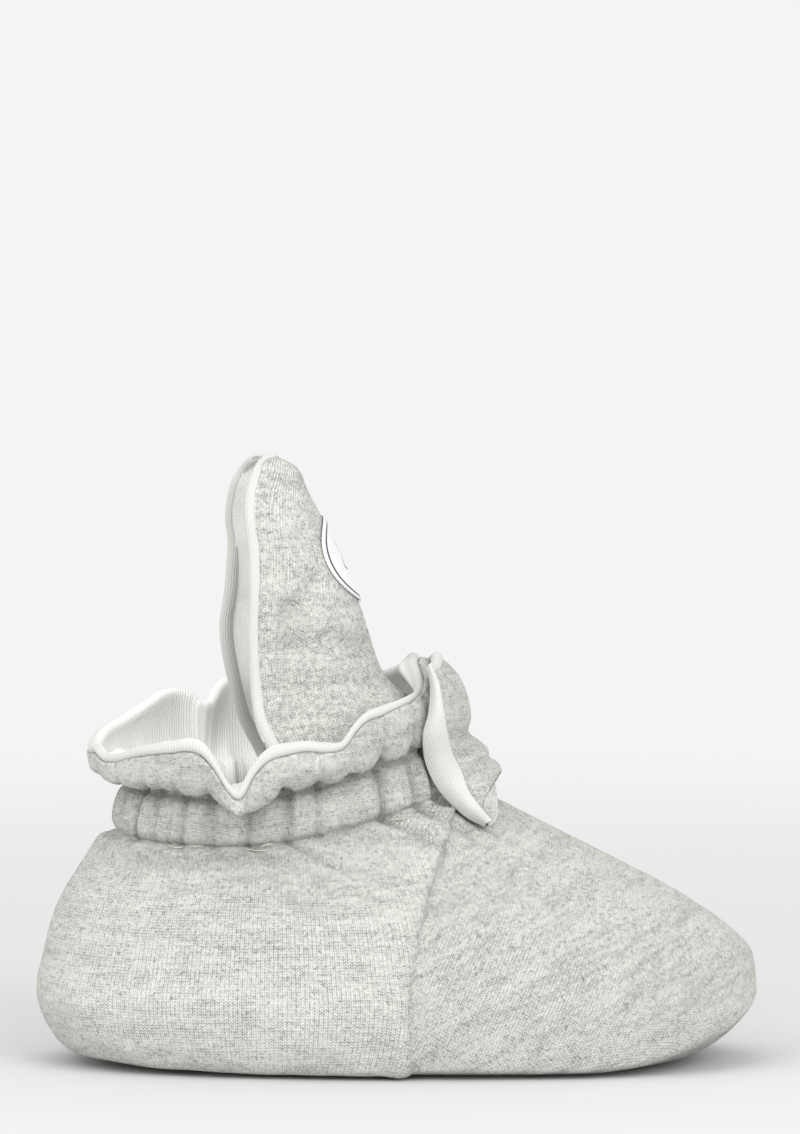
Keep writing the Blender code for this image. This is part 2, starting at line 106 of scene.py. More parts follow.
# %% Sizes of the last
LENGTH, BALL_WIDTH, HEEL_WIDTH, TOE_SWING, SWING_FROM = 0.1220, 0.0600, 0.0530, 0.0020, -0.10
HEEL_HEIGHT, SIDE_HEIGHT, INSTEP_HEIGHT = 0.0400, 0.0385, 0.0472
ANKLE_FROM_HEEL, ANKLE_LENGTH, ANKLE_WIDTH = 0.0110, 0.0620, 0.0420
CASING_HEIGHT, CASING_LEAN, CASING_SIDE_LEAN = 0.0080, 0.0022, 0.0013
RUFFLE_HEIGHT, WALL, RUFFLE_WALL, SEAM_STEP = 0.0105, 0.0022, 0.0017, 0.0007
MM = 0.001

Level = namedtuple("Level", "v heel_x toe_x heel_half ball_half heel_z side_z toe_z rise_from blunt")
LEVELS = (
    Level(0.00, -0.425, 0.496, 0.395, 0.410, 0.030, 0.020, 0.215, 118.0, 2.5),
    Level(0.07, -0.468, 0.499, 0.460, 0.462, 0.085, 0.055, 0.240, 118.0, 2.5),
    Level(0.20, -0.500, 0.500, 0.500, 0.500, 0.275, 0.280, 0.275, 110.0, 2.5),
    Level(0.34, -0.494, 0.489, 0.490, 0.480, 0.440, 0.450, 0.410, 100.0, 2.4),
    Level(0.55, -0.473, 0.410, 0.460, 0.440, 0.670, 0.680, 0.575, 95.0, 2.3),
    Level(0.78, -0.440, 0.279, 0.420, 0.380, 0.865, 0.870, 0.758, 85.0, 2.15),
)
SeamPoint = namedtuple("SeamPoint", "v x")
SIDE_SEAM = (
    SeamPoint(0.00, 0.025),
    SeamPoint(0.20, 0.018),
    SeamPoint(0.34, 0.024),
    SeamPoint(0.55, 0.038),
    SeamPoint(0.78, 0.057),
    SeamPoint(1.00, 0.088),
)
print("last:", len(LEVELS), "levels and a side seam of", len(SIDE_SEAM), "points")


# %% Points of the foot and the ankle
def turn_of(angle):
    """The angle folded to 0 at the heel and 180 at the toe, and the side: -1 near, 1 far."""
    angle = np.mod(angle, 360.0)
    return np.where(angle > 180.0, 360.0 - angle, angle), np.where(angle > 180.0, 1.0, -1.0)


def egg(angle, heel_x, toe_x, heel_half, toe_half, blunt):
    """A point of a level outline that is heel_half wide behind and toe_half wide in front."""
    turn, side = turn_of(angle)
    cosine = np.cos(np.radians(turn))
    x = 0.5 * (heel_x + toe_x) - 0.5 * (toe_x - heel_x) * cosine
    half = heel_half + (toe_half - heel_half) * smooth(0.0, 1.0, 0.5 - 0.5 * cosine)
    return x, side * half * np.maximum(0.0, 1.0 - np.abs(cosine) ** blunt) ** (1.0 / blunt)


def swing(x):
    """How far the middle line bends to the inner side of the foot."""
    return TOE_SWING * (np.maximum(0.0, x / LENGTH - SWING_FROM) / (0.5 - SWING_FROM)) ** 2


def level_point(level, angle):
    """A point of one level of the last."""
    turn = turn_of(angle)[0]
    x, y = egg(angle, level.heel_x * LENGTH + SEAM_STEP, level.toe_x * LENGTH,
               level.heel_half * HEEL_WIDTH, level.ball_half * BALL_WIDTH, level.blunt)
    side_z = level.side_z * SIDE_HEIGHT
    z = side_z + (level.heel_z * HEEL_HEIGHT - side_z) * smooth(70.0, 0.0, turn)
    z = z + (level.toe_z * INSTEP_HEIGHT - side_z) * smooth(level.rise_from, 180.0, turn)
    return np.stack([x, y + swing(x), z], axis=-1)


def ankle_point(angle, up):
    """A point of the ankle ring: up is 0 at the casing's lower stitches and 1 at its top stitches."""
    turn = turn_of(angle)[0]
    up = np.asarray(up, float)
    heel_x = -0.5 * LENGTH + ANKLE_FROM_HEEL + CASING_LEAN * up
    half = 0.5 * ANKLE_WIDTH - CASING_SIDE_LEAN * up
    x, y = egg(angle, heel_x, heel_x + ANKLE_LENGTH - 2.0 * CASING_LEAN * up, half, half, 2.1)
    z = SIDE_HEIGHT + (HEEL_HEIGHT - SIDE_HEIGHT) * smooth(70.0, 0.0, turn)
    z = z + (INSTEP_HEIGHT - SIDE_HEIGHT) * smooth(72.0, 170.0, turn)
    return np.stack([x, y + swing(x), z + CASING_HEIGHT * up], axis=-1)


# %% [markdown]
# ## The ruffle's folds
#
# Above the elastic the cloth is free. It falls outwards, bulges, and its edge rises and dips. Each row
# of this table is one place round the ankle, and says how far the belly, the crown and the free edge
# stand out from the casing and up from it, in shares of the ruffle's height.

# %% Fold table
Fold = namedtuple("Fold", "angle belly_out belly_up crown_out crown_up edge_out edge_up")
FOLDS = (
    Fold(0.0, 0.44, -0.06, 0.42, 0.40, 0.34, 0.58),
    Fold(10.0, 0.46, -0.08, 0.44, 0.36, 0.36, 0.55),
    Fold(18.0, 0.50, -0.08, 0.46, 0.40, 0.40, 0.63),
    Fold(27.0, 0.56, -0.10, 0.52, 0.32, 0.44, 0.54),
    Fold(35.0, 0.62, -0.10, 0.58, 0.36, 0.46, 0.61),
    Fold(42.0, 0.60, -0.04, 0.56, 0.44, 0.44, 0.74),
    Fold(50.0, 0.60, 0.00, 0.58, 0.50, 0.45, 0.84),
    Fold(56.0, 0.62, -0.04, 0.60, 0.54, 0.47, 0.90),
    Fold(61.0, 0.60, -0.08, 0.60, 0.57, 0.50, 0.95),
    Fold(65.0, 0.60, -0.06, 0.62, 0.54, 0.52, 0.93),
    Fold(68.0, 0.62, -0.12, 0.64, 0.45, 0.55, 0.82),
    Fold(71.0, 0.64, -0.25, 0.68, 0.28, 0.58, 0.62),
    Fold(74.5, 0.66, -0.40, 0.72, 0.04, 0.62, 0.30),
    Fold(78.0, 0.70, -0.66, 0.76, -0.08, 0.62, 0.20),
    Fold(81.5, 0.68, -0.66, 0.70, 0.18, 0.54, 0.56),
    Fold(86.0, 0.64, -0.38, 0.63, 0.40, 0.48, 0.78),
    Fold(92.0, 0.60, -0.10, 0.57, 0.48, 0.42, 0.82),
    Fold(98.0, 0.56, 0.02, 0.52, 0.48, 0.38, 0.79),
    Fold(104.0, 0.56, -0.04, 0.50, 0.42, 0.34, 0.70),
    Fold(109.0, 0.50, -0.02, 0.44, 0.46, 0.28, 0.66),
    Fold(113.0, 0.46, 0.02, 0.40, 0.66, 0.22, 0.85),
    Fold(117.0, 0.44, 0.02, 0.37, 0.77, 0.15, 0.97),
    Fold(121.0, 0.42, 0.00, 0.34, 0.80, 0.08, 0.99),
    Fold(135.0, 0.32, 0.06, 0.22, 0.94, -0.05, 0.94),
    Fold(150.0, 0.15, 0.20, 0.02, 1.20, -0.36, 0.84),
    Fold(165.0, 0.00, 0.30, -0.06, 1.42, -0.72, 0.96),
    Fold(180.0, -0.05, 0.35, -0.08, 1.52, -0.88, 1.12),
    Fold(197.0, 0.00, 0.30, -0.06, 1.50, -0.72, 1.22),
    Fold(214.0, 0.20, 0.15, 0.05, 1.35, -0.40, 1.35),
    Fold(230.0, 0.38, 0.02, 0.30, 1.05, 0.05, 1.30),
    Fold(245.0, 0.50, 0.05, 0.46, 0.90, 0.34, 1.30),
    Fold(260.0, 0.55, 0.00, 0.50, 0.80, 0.36, 1.20),
    Fold(272.0, 0.60, 0.05, 0.58, 0.95, 0.45, 1.44),
    Fold(284.0, 0.62, 0.02, 0.60, 1.02, 0.52, 1.60),
    Fold(290.0, 0.60, 0.02, 0.58, 1.00, 0.50, 1.56),
    Fold(293.5, 0.56, 0.02, 0.52, 0.90, 0.44, 1.40),
    Fold(296.5, 0.50, 0.00, 0.46, 0.72, 0.38, 1.19),
    Fold(300.0, 0.56, 0.03, 0.54, 0.84, 0.46, 1.31),
    Fold(305.0, 0.62, 0.05, 0.60, 0.92, 0.52, 1.39),
    Fold(311.0, 0.62, 0.05, 0.59, 0.90, 0.50, 1.36),
    Fold(318.0, 0.58, 0.00, 0.56, 0.78, 0.46, 1.19),
    Fold(325.0, 0.60, -0.02, 0.54, 0.68, 0.44, 1.03),
    Fold(331.0, 0.56, -0.04, 0.52, 0.60, 0.42, 0.92),
    Fold(338.0, 0.54, -0.05, 0.50, 0.54, 0.40, 0.83),
    Fold(345.0, 0.50, -0.06, 0.46, 0.48, 0.36, 0.75),
    Fold(352.0, 0.46, -0.06, 0.43, 0.43, 0.34, 0.66),
)
print("ruffle:", len(FOLDS), "places round the ankle")


# %% The whole shell: foot, casing and ruffle
def ruffle_point(angle, up):
    """A point of the ruffle: up is 0 at the casing's top stitches and 1 at the free edge."""
    fold = {name: along(FOLDS, "angle", name, angle, 360.0) * RUFFLE_HEIGHT for name in Fold._fields[1:]}
    ahead = ankle_point(angle + 1.0, 1.0) - ankle_point(angle - 1.0, 1.0)
    outward = np.stack([ahead[:, 1], -ahead[:, 0], np.zeros(len(ahead))], axis=-1)
    outward /= np.linalg.norm(outward, axis=1)[:, None]
    rest = 1.0 - up
    out = 3 * rest * rest * up * fold["belly_out"] * 1.3 + 3 * rest * up * up * fold["crown_out"] * 1.2
    out = out + up ** 3 * fold["edge_out"]
    rise = 3 * rest * rest * up * fold["belly_up"] + 3 * rest * up * up * fold["crown_up"]
    rise = rise + up ** 3 * fold["edge_up"]
    return ankle_point(angle, 1.0) + outward * out[:, None] + np.array([0.0, 0.0, 1.0]) * rise[:, None]


def shell(angle, w):
    """The smooth outside: w 0 to 1 is the foot, 1 to 2 the elastic casing, 2 to 3 the ruffle."""
    angle, w = (np.array(a, float) for a in np.broadcast_arrays(angle, w))
    keys = [row.v for row in LEVELS] + [1.0, 1.2]
    levels = [level_point(row, angle) for row in LEVELS] + [ankle_point(angle, 0.0), ankle_point(angle, 0.5)]
    points = curve_through(keys, np.stack(levels), np.minimum(w, 1.0))
    casing, ruffle = (w > 1.0) & (w <= 2.0), w > 2.0
    points[casing] = ankle_point(angle[casing], w[casing] - 1.0)
    points[ruffle] = ruffle_point(angle[ruffle], w[ruffle] - 2.0)
    return points


def unit(vectors):
    """Vectors of length one."""
    return vectors / np.maximum(np.linalg.norm(vectors, axis=-1, keepdims=True), 1e-12)


def shell_normal(angle, w):
    """The direction out of the cloth."""
    around = shell(angle + 0.6, w) - shell(angle - 0.6, w)
    upward = shell(angle, np.minimum(w + 0.012, 3.0)) - shell(angle, np.maximum(w - 0.012, 0.0))
    return unit(np.cross(around, upward))


def side_seam_angle(w):
    """The angle of the heel panel's front edge, found by halving."""
    w = np.minimum(np.asarray(w, float), 1.0)
    target = along(SIDE_SEAM, "v", "x", w) * LENGTH
    low, high = np.full(w.shape, 40.0), np.full(w.shape, 178.0)
    for _ in range(26):
        middle = 0.5 * (low + high)
        behind = shell(middle, w)[:, 0] < target
        low, high = np.where(behind, middle, low), np.where(behind, high, middle)
    return low


# %% [markdown]
# ## From a flat grid to cloth
#
# Real cloth starts flat. So does each piece here: Blender's grid operator makes a flat sheet, a placing
# function bends it, and a UV map in real metres is measured on the bent sheet, so knitted stitches have
# one size everywhere. A ring of cloth is welded where its two ends meet.

# %% The cloth maker
def measured(points, columns, rows):
    """Lengths in metres along the rows and up the columns of a bent sheet."""
    net = points.reshape(rows + 1, columns + 1, 3)
    across = np.zeros(net.shape[:2])
    across[:, 1:] = np.cumsum(np.linalg.norm(np.diff(net, axis=1), axis=2), axis=1)
    upward = np.zeros(net.shape[:2])
    upward[1:] = np.cumsum(np.linalg.norm(np.diff(net, axis=0), axis=2), axis=0)
    return across, upward


def cloth(name, columns, rows, place, finish, pattern=None, weld=False, turned=False):
    """Bend a flat grid: place takes arrays u and v from 0 to 1 and gives points."""
    flat = bmesh.new()
    bmesh.ops.create_grid(flat, x_segments=columns, y_segments=rows, size=0.5)
    data = bpy.data.meshes.new(name)
    flat.to_mesh(data)
    flat.free()
    spot = np.zeros(len(data.vertices) * 3)
    data.vertices.foreach_get("co", spot)
    spot = spot.reshape(-1, 3) + 0.5
    points = place(spot[:, 0], spot[:, 1])
    data.vertices.foreach_set("co", points.astype(np.float32).ravel())
    across, upward = measured(points, columns, rows)
    if pattern:
        across, upward = pattern(points.reshape(rows + 1, columns + 1, 3), across, upward)
    corner = np.zeros(len(data.loops), int)
    data.loops.foreach_get("vertex_index", corner)
    lengths = np.stack([across.ravel(), upward.ravel()], axis=-1)[corner]
    data.uv_layers.new(name="cloth").data.foreach_set("uv", lengths.astype(np.float32).ravel())
    made = bmesh.new()
    made.from_mesh(data)
    if weld:
        bmesh.ops.remove_doubles(made, verts=made.verts[:], dist=2e-6)
    if turned:
        bmesh.ops.reverse_faces(made, faces=made.faces[:])
    made.to_mesh(data)
    made.free()
    return dress(name, data, finish)


def dress(name, data, finish):
    """Make the piece, let it ride on the frame and give it its finish."""
    data.shade_smooth()
    piece = bpy.data.objects.new(name, data)
    bpy.context.scene.collection.objects.link(piece)
    data.materials.append(finish)
    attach(piece, "root")
    print(name, len(data.polygons), "faces")
    return piece


# %% [markdown]
# ## Writing shader maths as sums
#
# A material is a net of small nodes. Wiring sums by hand is hard to read, so one class wraps a socket
# and gives it the usual signs: an expression such as 1 - mask * 0.3 adds the Math nodes by itself.
# Colours go through Mix nodes, because a Math node would turn them grey.

# %% Shader sums
class Wire:
    """A value that runs along a material's wire."""

    def __init__(self, finish, socket):
        self.finish, self.socket = finish, socket

    def math(self, operation, *others):
        return self.finish.node("ShaderNodeMath", {"operation": operation}, dict(enumerate((self, *others))))

    def __add__(self, other):
        return self.math("ADD", other)

    def __sub__(self, other):
        return self.math("SUBTRACT", other)

    def __rsub__(self, other):
        return self.finish.node("ShaderNodeMath", {"operation": "SUBTRACT"}, {0: other, 1: self})

    def __mul__(self, other):
        return self.math("MULTIPLY", other)

    def __truediv__(self, other):
        return self.math("DIVIDE", other)

    def __pow__(self, other):
        return self.math("POWER", other)

    __radd__, __rmul__ = __add__, __mul__

    def ramp(self, low, high):
        """0 below low and 1 above high, softly."""
        settings = {"interpolation_type": "SMOOTHSTEP"}
        sockets = {"Value": self, "From Min": low, "From Max": high}
        return self.finish.node("ShaderNodeMapRange", settings, sockets)


class Finish:
    """One material, with one method that adds any node."""

    def __init__(self, name):
        self.material = bpy.data.materials.new(name)
        self.material.use_nodes = True
        self.tree = self.material.node_tree
        self.shader = self.tree.nodes["Principled BSDF"]

    def node(self, kind, settings=None, sockets=None, output=0):
        added = self.tree.nodes.new(kind)
        for key, value in (settings or {}).items():
            setattr(added, key, value)
        self.join(added, sockets or {})
        return Wire(self, added.outputs[output])

    def join(self, added, sockets):
        for key, value in sockets.items():
            if isinstance(value, Wire):
                self.tree.links.new(value.socket, added.inputs[key])
            else:
                added.inputs[key].default_value = value

    def mix(self, share, first, second):
        """A colour between two colours."""
        first, second = (c if isinstance(c, Wire) else (*c, 1.0) for c in (first, second))
        return self.node("ShaderNodeMix", {"data_type": "RGBA"}, {0: share, 6: first, 7: second}, output=2)

    def noise(self, where, scale, detail=2.0, roughness=0.5):
        return self.node("ShaderNodeTexNoise", None,
                         {"Vector": where, "Scale": scale, "Detail": detail, "Roughness": roughness})

    def place(self, turn=(0.0, 0.0, 0.0), stretch=(1.0, 1.0, 1.0)):
        """Where a point is on the object, turned and then stretched."""
        spot = self.node("ShaderNodeTexCoord", output="Object")
        spot = self.node("ShaderNodeVectorRotate", {"rotation_type": "EULER_XYZ"},
                         {"Vector": spot, "Rotation": turn})
        return self.node("ShaderNodeVectorMath", {"operation": "MULTIPLY"}, {0: spot, 1: stretch})

    def cloth_lengths(self, turn=0.0):
        """The two lengths along the cloth, in metres."""
        spot = self.node("ShaderNodeUVMap", {"uv_map": "cloth"})
        spot = self.node("ShaderNodeVectorRotate", {"rotation_type": "Z_AXIS"},
                         {"Vector": spot, "Angle": turn})
        return (self.node("ShaderNodeSeparateXYZ", None, {0: spot}, output=axis) for axis in (0, 1))

    def finish(self, sockets, height=None, depth=0.0001, strength=1.0):
        if height is not None:
            sockets["Normal"] = self.node("ShaderNodeBump", None,
                                          {"Height": height, "Distance": depth, "Strength": strength})
        self.join(self.shader, sockets)
        return self.material


# %% [markdown]
# ## Heather knit
#
# The outside is a double knit of pale yarn with grey fibres spun in. Close up, the knit shows columns
# of small V stitches, about half a millimetre wide. From further away the grey fibres show as soft
# streaks along the rows. Four noises make the yarn's colour, and slanted waves make the stitches, as a
# bump and as a little grey painted into the valleys between them, which is painted shade. Nothing is
# painted from a picture.

# %% The knit's finish
WALE, COURSE = 0.00056, 0.00050
PALE, GREY = (0.870, 0.893, 0.828), (0.330, 0.342, 0.310)


def stitches(knit, turn):
    """The height of V stitches: two slanted legs in each column."""
    across, upward = knit.cloth_lengths(turn)
    leg = (across / WALE).math("FRACT") - 0.5
    leg = leg.math("ABSOLUTE") * 2.0
    round_leg = 1.0 - ((leg - 0.5) * 2.0).math("ABSOLUTE") ** 3
    slant = (upward / COURSE + leg * 0.8) * (2.0 * math.pi)
    return round_leg * (slant.math("SINE") * 0.5 + 0.5) - leg.ramp(0.72, 1.0) * 0.18


def knit(name, streak_turn, stitch_turn=0.0, coarse=1.0, shade=1.0):
    """Pale heather knit. streak_turn tilts the grey streaks against the level, in degrees."""
    heather = Finish(name)
    tilt = (0.0, math.radians(streak_turn), 0.0)
    streaks = heather.noise(heather.place(tilt, (210.0, 210.0, 1150.0)), 1.0, 3.0, 0.65) - 0.5
    broad = heather.noise(heather.place(tilt, (50.0, 50.0, 320.0)), 1.0, 2.0, 0.5) - 0.5
    fibres = heather.noise(heather.place(), 1700.0 / coarse, 2.0, 0.6) - 0.5
    flecks = heather.noise(heather.place((0.6, 0.3, 0.2)), 1300.0, 1.0, 0.5).ramp(0.62, 0.74)
    height = stitches(heather, math.radians(stitch_turn))
    # The grooves between the stitches are painted greyer: painted shade. Streaks, broad, fibres and flecks
    # are the yarn's own heather tone.
    groove_shade = 1.0 - height
    share = streaks * 1.1 + broad * 0.55 + fibres * (1.5 * coarse) + groove_shade * 0.85 + flecks * 0.50 - 0.255
    colour = heather.mix(share.ramp(0.0, 1.0), tuple(shade * c for c in PALE), tuple(shade * c for c in GREY))
    relief = height + fibres * 0.6
    return heather.finish({"Base Color": colour, "Roughness": 0.95, "Sheen Weight": 0.15,
                           "Sheen Roughness": 0.5, "Specular IOR Level": 0.2}, relief, 0.00028, 0.9)


KNIT_LEVEL = knit("heather_knit", 0.0)
KNIT_SLANT = knit("heather_knit_bias", 28.0, 25.0)
# The collar's knit is painted 6% brighter to lift the shade on the casing under the ruffle, and on the
# ruffle: painted light.
KNIT_COLLAR_LIT = knit("heather_knit_collar_painted_light", 0.0, shade=1.06)
KNIT_COARSE = knit("heather_knit_tongue", 0.0, coarse=1.25)
print("knit: panels, toe panel, collar and tongue")

# %% [markdown]
# ## Ribbed lining
#
# The lining is a fine white rib. Narrow ridges, two or three to the millimetre, run up the cloth with a
# little fuzz between them; the grooves between the ridges are painted darker, as painted shade. The
# rolled edge is the same white rib, painted a shade greyer than the inside as painted shade, for the
# stronger light on it. On the flap's leaf and on the rolls the painted shade in the grooves is deeper,
# so the rib stands out more.

# %% The lining's finish
RIB, LINK = 0.00042, 0.00045
# The first colour is the grey of the roll's painted shade. The share sets how dark the painted shade in the
# rib grooves, and the random tone, go against the pale colour.
ROLL_SHADE_GREY, SHADE_SHARE = (0.575, 0.587, 0.555), 0.74


def ribbed(name, turn=0.0, pale=(0.90, 0.91, 0.88), roll_shade_length=0.0, groove_shade_gain=1.0):
    """White rib. Over the given length from the free edge, the roll is painted greyer: painted shade."""
    rib = Finish(name)
    across, upward = rib.cloth_lengths(math.radians(turn))
    ridge = ((across / RIB) * (2.0 * math.pi)).math("SINE") * 0.5 + 0.5
    link = ((upward / LINK) * (2.0 * math.pi)).math("SINE") * 0.5 + 0.5
    fuzz = rib.noise(rib.place(), 2200.0, 2.0, 0.6)
    cloudy = rib.noise(rib.place(), 160.0, 2.0, 0.5)
    height = ridge * 0.7 + ridge * link * 0.2 + fuzz * 0.35
    # The roll next to the free edge is painted greyer than the inside: painted shade, for the stronger light
    # on it.
    pale_with_roll_shade = rib.mix(upward.ramp(0.6 * roll_shade_length, roll_shade_length), ROLL_SHADE_GREY, pale) if roll_shade_length else pale
    # The grooves between the ribs are painted darker, more on the rolls and the leaf: painted shade. Fuzz and
    # clouds add random tone.
    shade = (1.0 - ridge) * (0.20 * groove_shade_gain) + fuzz * 0.20 + cloudy * 0.20 - 0.08
    colour = rib.mix(shade.ramp(0.0, 1.0) * 0.60, pale_with_roll_shade, tuple(SHADE_SHARE * c for c in pale))
    return rib.finish({"Base Color": colour, "Roughness": 0.92, "Sheen Weight": 0.15,
                       "Specular IOR Level": 0.2}, height, 0.00012, 0.8)


LINING = ribbed("white_rib")
# The tongue's lining is the same white rib, painted brighter to lift the shade inside the cupped tongue:
# painted light.
LINING_PAINTED_LIGHT = ribbed("white_rib_tongue_painted_light", pale=(0.96, 0.965, 0.945))
# The shell's lining: its roll, the first 4.2 mm from the free edge, is painted greyer as painted shade.
LINING_WRAPPED = ribbed("white_rib_wrapped", roll_shade_length=0.0042)
# Rolls and leaf: the same white rib, painted greyer as painted shade, with deeper painted shade in the rib
# grooves.
LINING_ROLL_SHADED = ribbed("white_rib_roll_painted_shade", 90.0, pale=(0.63, 0.642, 0.607), groove_shade_gain=2.4)
print("lining: insole, tongue, shell, and rolls with the leaf")

# %% [markdown]
# ## Gathers under the elastic
#
# Elastic shortens the cloth, so it stands in small pillows with sharp valleys between. The valleys are
# listed, each with its own depth and width in millimetres and its length below the stitches. A
# very fine ripple lies over the casing between them.

# %% Gather table
Gather = namedtuple("Gather", "angle depth width run")
GATHERS = (
    Gather(7.0, 0.8, 0.9, 0.10),
    Gather(21.0, 1.0, 0.9, 0.12),
    Gather(35.0, 0.8, 0.8, 0.08),
    Gather(44.8, 0.7, 0.8, 0.10),
    Gather(50.8, 0.6, 0.7, 0.06),
    Gather(56.3, 0.8, 0.8, 0.10),
    Gather(67.6, 0.8, 0.9, 0.12),
    Gather(79.2, 1.3, 1.3, 0.12),
    Gather(91.3, 1.1, 0.9, 0.14),
    Gather(101.6, 0.7, 0.9, 0.10),
    Gather(112.0, 0.5, 0.9, 0.08),
    Gather(123.5, 1.3, 1.0, 0.16),
    Gather(137.4, 1.1, 1.0, 0.20),
    Gather(146.0, 0.8, 0.9, 0.20),
    Gather(160.0, 0.6, 1.0, 0.10),
    Gather(176.0, 0.6, 1.0, 0.10),
    Gather(193.0, 0.7, 1.0, 0.10),
    Gather(209.0, 0.8, 1.0, 0.12),
    Gather(222.0, 1.1, 1.0, 0.16),
    Gather(234.0, 0.8, 0.9, 0.12),
    Gather(246.0, 1.0, 0.9, 0.14),
    Gather(255.5, 0.7, 0.8, 0.08),
    Gather(266.0, 1.1, 1.0, 0.13),
    Gather(278.0, 0.8, 0.9, 0.10),
    Gather(289.0, 1.1, 1.1, 0.14),
    Gather(299.0, 0.7, 0.8, 0.08),
    Gather(308.0, 0.9, 0.9, 0.12),
    Gather(320.0, 0.8, 0.9, 0.10),
    Gather(332.0, 0.9, 0.9, 0.12),
    Gather(346.0, 0.8, 0.9, 0.10),
)
MM_PER_DEGREE, GATHER_DEPTH, RIPPLE_DEPTH = 0.46, 1.9, 0.16
print("gathers:", len(GATHERS))


def angle_gap(angle, centre):
    """How far an angle is from another, in degrees, the short way round."""
    return np.mod(angle - centre + 180.0, 360.0) - 180.0


def gathers(angle, w):
    """How deep the gathers press the cloth in, in metres."""
    depth = np.zeros(np.shape(angle))
    for row in GATHERS:
        gap = np.abs(angle_gap(angle, row.angle)) * MM_PER_DEGREE / row.width
        groove_shade = np.exp(-gap ** 1.4)
        reach = np.where(w < 1.0, smooth(1.0 - 1.7 * row.run, 1.0, w), 1.0 - 0.75 * smooth(2.0, 2.55, w))
        depth += GATHER_DEPTH * row.depth * groove_shade * reach
    ripple = np.cos(np.radians(angle * 82.0)) + 0.6 * np.cos(np.radians(angle * 131.0 + 40.0))
    return (depth + RIPPLE_DEPTH * ripple * smooth(0.99, 1.05, w) * smooth(2.35, 1.95, w)) * MM


# %% [markdown]
# ## Soft folds of the body
#
# A soft shoe is never smooth. These folds are given one by one in the shoe's own millimetres, as seen
# from the side: a line from one point to another, its width, and its height. A plus is a soft ridge
# and a minus a trough. Each lies on both sides.

# %% Body folds
Crease = namedtuple("Crease", "x0 z0 x1 z1 width height")
BODY_CREASES = (
    Crease(6.0, 41.0, 10.5, 28.0, 1.9, -0.60),
    Crease(9.5, 43.0, 14.0, 30.0, 1.9, 0.75),
    Crease(-3.5, 38.0, -0.5, 29.0, 2.0, -0.42),
    Crease(0.5, 39.0, 4.0, 29.0, 2.0, 0.55),
    Crease(-11.0, 37.0, -9.5, 30.5, 1.8, -0.35),
    Crease(-21.5, 37.0, -22.5, 29.5, 1.8, -0.45),
    Crease(-26.0, 37.0, -28.0, 29.0, 2.2, 0.35),
    Crease(-37.0, 37.0, -40.0, 29.0, 2.0, -0.35),
    Crease(20.0, 36.0, 34.0, 26.0, 2.6, 0.35),
    Crease(17.0, 33.0, 28.0, 21.0, 2.4, -0.30),
    Crease(-46.0, 12.0, -20.0, 9.0, 3.0, -0.25),
    Crease(10.0, 10.0, 44.0, 12.0, 3.2, -0.25),
)
print("body folds:", len(BODY_CREASES))


def body_folds(points):
    """The height of the body's folds at points of the shell, in metres."""
    relief = np.zeros(len(points))
    x, z = points[:, 0] / MM, points[:, 2] / MM
    for row in BODY_CREASES:
        run, rise = row.x1 - row.x0, row.z1 - row.z0
        share = np.clip(((x - row.x0) * run + (z - row.z0) * rise) / (run * run + rise * rise), 0.0, 1.0)
        away = np.hypot(x - row.x0 - share * run, z - row.z0 - share * rise) / row.width
        relief += row.height * np.exp(-away ** 2) * (1.0 - 0.5 * share)
    return relief * MM


LUMP_HEIGHT = 0.10 * MM


def lumps(points):
    """Slow, very low unevenness of soft cloth, in metres."""
    x, y, z = (points[:, axis] / MM for axis in range(3))
    wave = np.sin(0.31 * x + 0.23 * z + 0.9) * np.sin(0.27 * y - 0.21 * z + 0.4)
    wave += 0.6 * np.sin(0.53 * x - 0.37 * z + 1.7) * np.sin(0.49 * y + 0.31 * x)
    return LUMP_HEIGHT * wave


# %% [markdown]
# ## Pull of the elastic
#
# At the back the elastic draws the casing in over the heel, so the foot's cloth leans in below it and
# the ruffle above it. A small table says how far, in millimetres, from the sole seam up to the edge.

# %% Table of the pull
Pull = namedtuple("Pull", "w inwards")
PULLS = (
    Pull(0.00, 0.5),
    Pull(0.55, 0.6),
    Pull(0.78, 1.1),
    Pull(0.90, 1.8),
    Pull(1.00, 2.6),
    Pull(1.20, 2.7),
    Pull(2.00, 2.5),
    Pull(2.30, 1.4),
    Pull(2.70, 0.3),
    Pull(3.00, 0.0),
)
PULL_SPREAD = 36.0
print("pull over the heel:", len(PULLS), "heights")


def heel_pull(angle, w):
    """The elastic draws the casing in over the heel, in metres."""
    behind = np.exp(-(turn_of(angle)[0] / PULL_SPREAD) ** 2)
    return along(PULLS, "w", "inwards", w) * MM * behind


def stitched(angle):
    """1 where the casing's lower stitches show, and 0 in front, where the cloth runs straight down."""
    return 1.0 - smooth(122.0, 138.0, turn_of(angle)[0])


# %% [markdown]
# ## Heel panel and toe panel
#
# The maker sews the heel panel over the toe panel, so its front edge stands a little proud at each
# side. The heel panel's edge turns down over its last millimetre, and the toe panel runs on under it.

# %% Outside of the foot
STITCH_DITCH, SWELL_HEIGHT = 0.55 * MM, 0.7 * MM
LAP_HEIGHT, BEAD_HEIGHT, TURNED_DOWN = 0.3 * MM, 0.35 * MM, 0.4 * MM
LAP_MM_PER_DEGREE, TUCKED_DEGREES = 0.62, 3.0
PATTERN_FROM_X, PATTERN_RUN = -0.020, 0.040


def body_relief(angle, w):
    """What the foot's cloth does on top of its smooth shape, and that smooth shape."""
    points = shell(angle, w)
    swell = SWELL_HEIGHT * smooth(0.78, 0.94, w) * smooth(1.03, 0.95, w)
    ditch = STITCH_DITCH * stitched(angle) * np.exp(-((1.0 - w) * 29.0 / 0.8) ** 2)
    relief = swell * stitched(angle) - ditch - gathers(angle, w) - heel_pull(angle, w)
    return points, relief + body_folds(points) + lumps(points)


